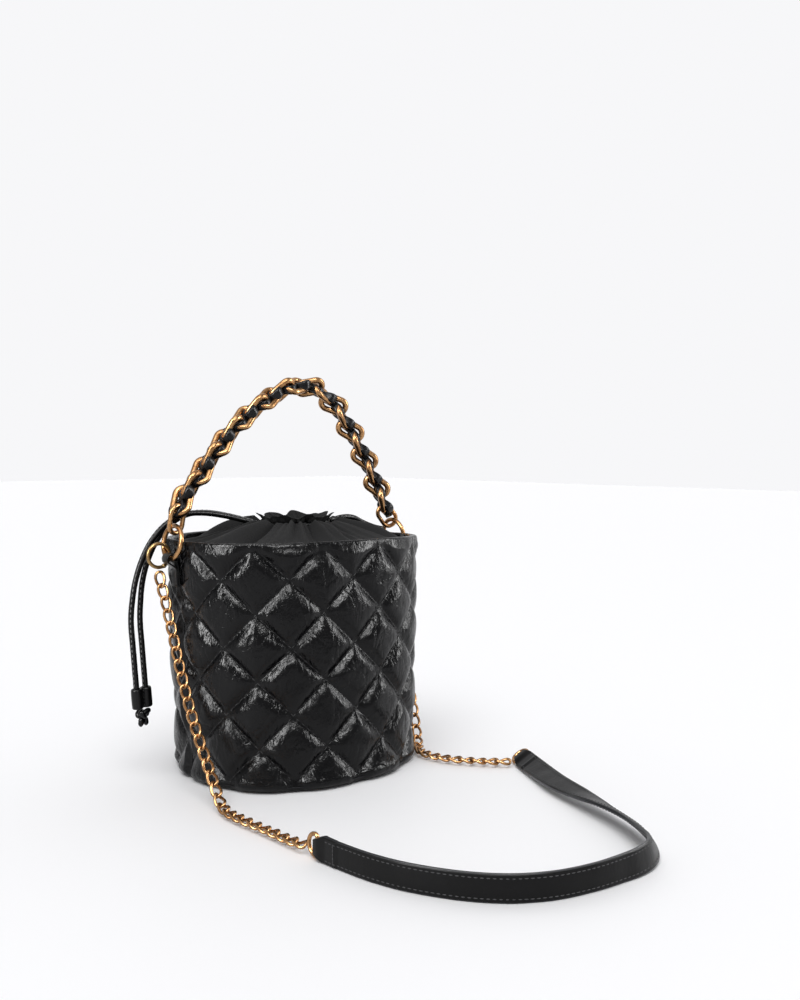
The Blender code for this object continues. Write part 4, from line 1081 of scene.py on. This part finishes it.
def strap_stitches(centre, run, side, up, lengths, thick):
    """Seams along both edges of both faces, and a row across each folded end."""
    rows = []
    for face in (1, -1):
        for sign in (1, -1):
            at = np.arange(0.012, lengths[-1] - 0.012, 0.0038)
            place = resample(centre, lengths, at)
            s, u, r = (unit(resample(v, lengths, at)) for v in (side, up, run))
            out = s * face * (np.interp(at, lengths, thick)[:, None] / 2 + 0.00005)
            rows.append((place + out + u * sign * (STRAP_WIDTH / 2 - STRAP_SEAM), r, s * face))
    for at in (STRAP_FOLD - 3 * MM, lengths[-1] - STRAP_FOLD + 3 * MM):
        for face in (1, -1):
            place = resample(centre, lengths, [at])[0]
            s, u = (unit(resample(v, lengths, [at])[0]) for v in (side, up))
            out = s * face * (np.interp(at, lengths, thick) / 2 + 0.00005)
            across = np.arange(-2, 3)[:, None] * 2.6 * MM
            rows.append((place + out + u * across, np.tile(u, (5, 1)), np.tile(s * face, (5, 1))))
    places, directions, outs = (np.vstack([row[i] for row in rows]) for i in range(3))
    return stitches("strap_stitches", places, directions, outs, 0.0026, 0.00075, STRAP_THREAD, None)


def make_d_ring(word, bar, run, up):
    height, depth, corner, wire = D_RING
    half = height / 2
    points = []
    for a in np.radians(np.linspace(90, 0, 9)):
        points.append(run * (corner * (math.sin(a) - 1)) + up * (half - corner * (1 - math.cos(a))))
    for a in np.radians(np.linspace(0, 180, 25)[1:-1]):
        points.append(-run * (corner + (depth - corner) * math.sin(a)) + up * (half * math.cos(a)))
    for a in np.radians(np.linspace(0, 90, 9)):
        points.append(run * (corner * (math.sin(a) - 1)) - up * (half - corner * (1 - math.cos(a))))
    line = bar + np.array(points)
    normal = np.cross(run, up)
    sides = unit(np.cross(normal, tangents(line, closed=True)))
    made = sweep(f"{word}_d_ring", line, sides, np.tile(normal, (len(line), 1)), circle(wire / 2, 14), GOLD,
                 "bag", closed=True)
    stand_in(made, f"{word}_strap_ring")
    return made


# ---------------------------------------------------------------- stage

def area_light(name, place, aim, size, power):
    light = bpy.data.lights.new(name, "AREA")
    light.shape = "RECTANGLE"
    light.size, light.size_y = size
    light.energy = power
    made = bpy.data.objects.new(name, light)
    made.location = place
    made.rotation_euler = (Vector(aim) - Vector(place)).to_track_quat("-Z", "Y").to_euler()
    made.visible_diffuse = False
    bpy.context.collection.objects.link(made)


def make_stage():
    camera = bpy.data.cameras.new("camera")
    camera.lens = CAMERA_LENS
    camera.sensor_width = 36
    camera.clip_end = 50
    holder = bpy.data.objects.new("camera", camera)
    holder.location = CAMERA_PLACE
    holder.rotation_euler = Vector(CAMERA_AIM).to_track_quat("-Z", "Y").to_euler()
    bpy.context.collection.objects.link(holder)
    bpy.context.scene.camera = holder

    made, _, shader = material("studio floor", (0.93, 0.93, 0.94), 0.55)
    shader.inputs["Specular IOR Level"].default_value = 0.15
    corners = [[(x, y, FLOOR_LEVEL) for x in FLOOR_SIDES] for y in FLOOR_DEPTH]
    grid("floor", np.array(corners, float), made, None)

    world = bpy.data.worlds.new("studio")
    world.use_nodes = True
    tree = world.node_tree
    facing = tree.nodes.new("ShaderNodeVectorMath")
    facing.operation = "DOT_PRODUCT"
    facing.inputs[1].default_value = BACKDROP_SIDE
    tree.links.new(add_node(tree, "TexCoord").outputs["Generated"], facing.inputs[0])
    ramp = add_node(tree, "ValToRGB", Fac=facing.outputs["Value"])
    dim, bright = ramp.color_ramp.elements
    dim.position, dim.color = 0.0, (*[DIM_SIDE * c for c in STUDIO_WHITE], 1)
    bright.position, bright.color = 0.45, (*STUDIO_WHITE, 1)
    tree.links.new(ramp.outputs["Color"], tree.nodes["Background"].inputs["Color"])
    bpy.context.scene.world = world

    sun = bpy.data.lights.new("overhead softbox", "SUN")
    sun.energy = SUN_POWER
    sun.angle = math.radians(50)
    holder = bpy.data.objects.new("overhead softbox", sun)
    holder.rotation_euler = Vector(SUN_FROM).to_track_quat("Z", "Y").to_euler()
    bpy.context.collection.objects.link(holder)
    for card in CARDS:
        area_light(*card)
    bpy.context.scene.view_settings.view_transform = "Standard"


make_body()
make_closure()
make_drawstring()
for ring_side, ring_word in ((-1, "left"), (1, "right")):
    make_ring(ring_side, ring_word)
    make_clasp(ring_side, ring_word)
    make_tab(ring_side, ring_word)
make_handle()
make_chain("left_curb_chain", LEFT_CHAIN_ROUTE, "left_chain")
make_chain("right_curb_chain", RIGHT_CHAIN_ROUTE, "right_chain")
make_strap()
make_stage()
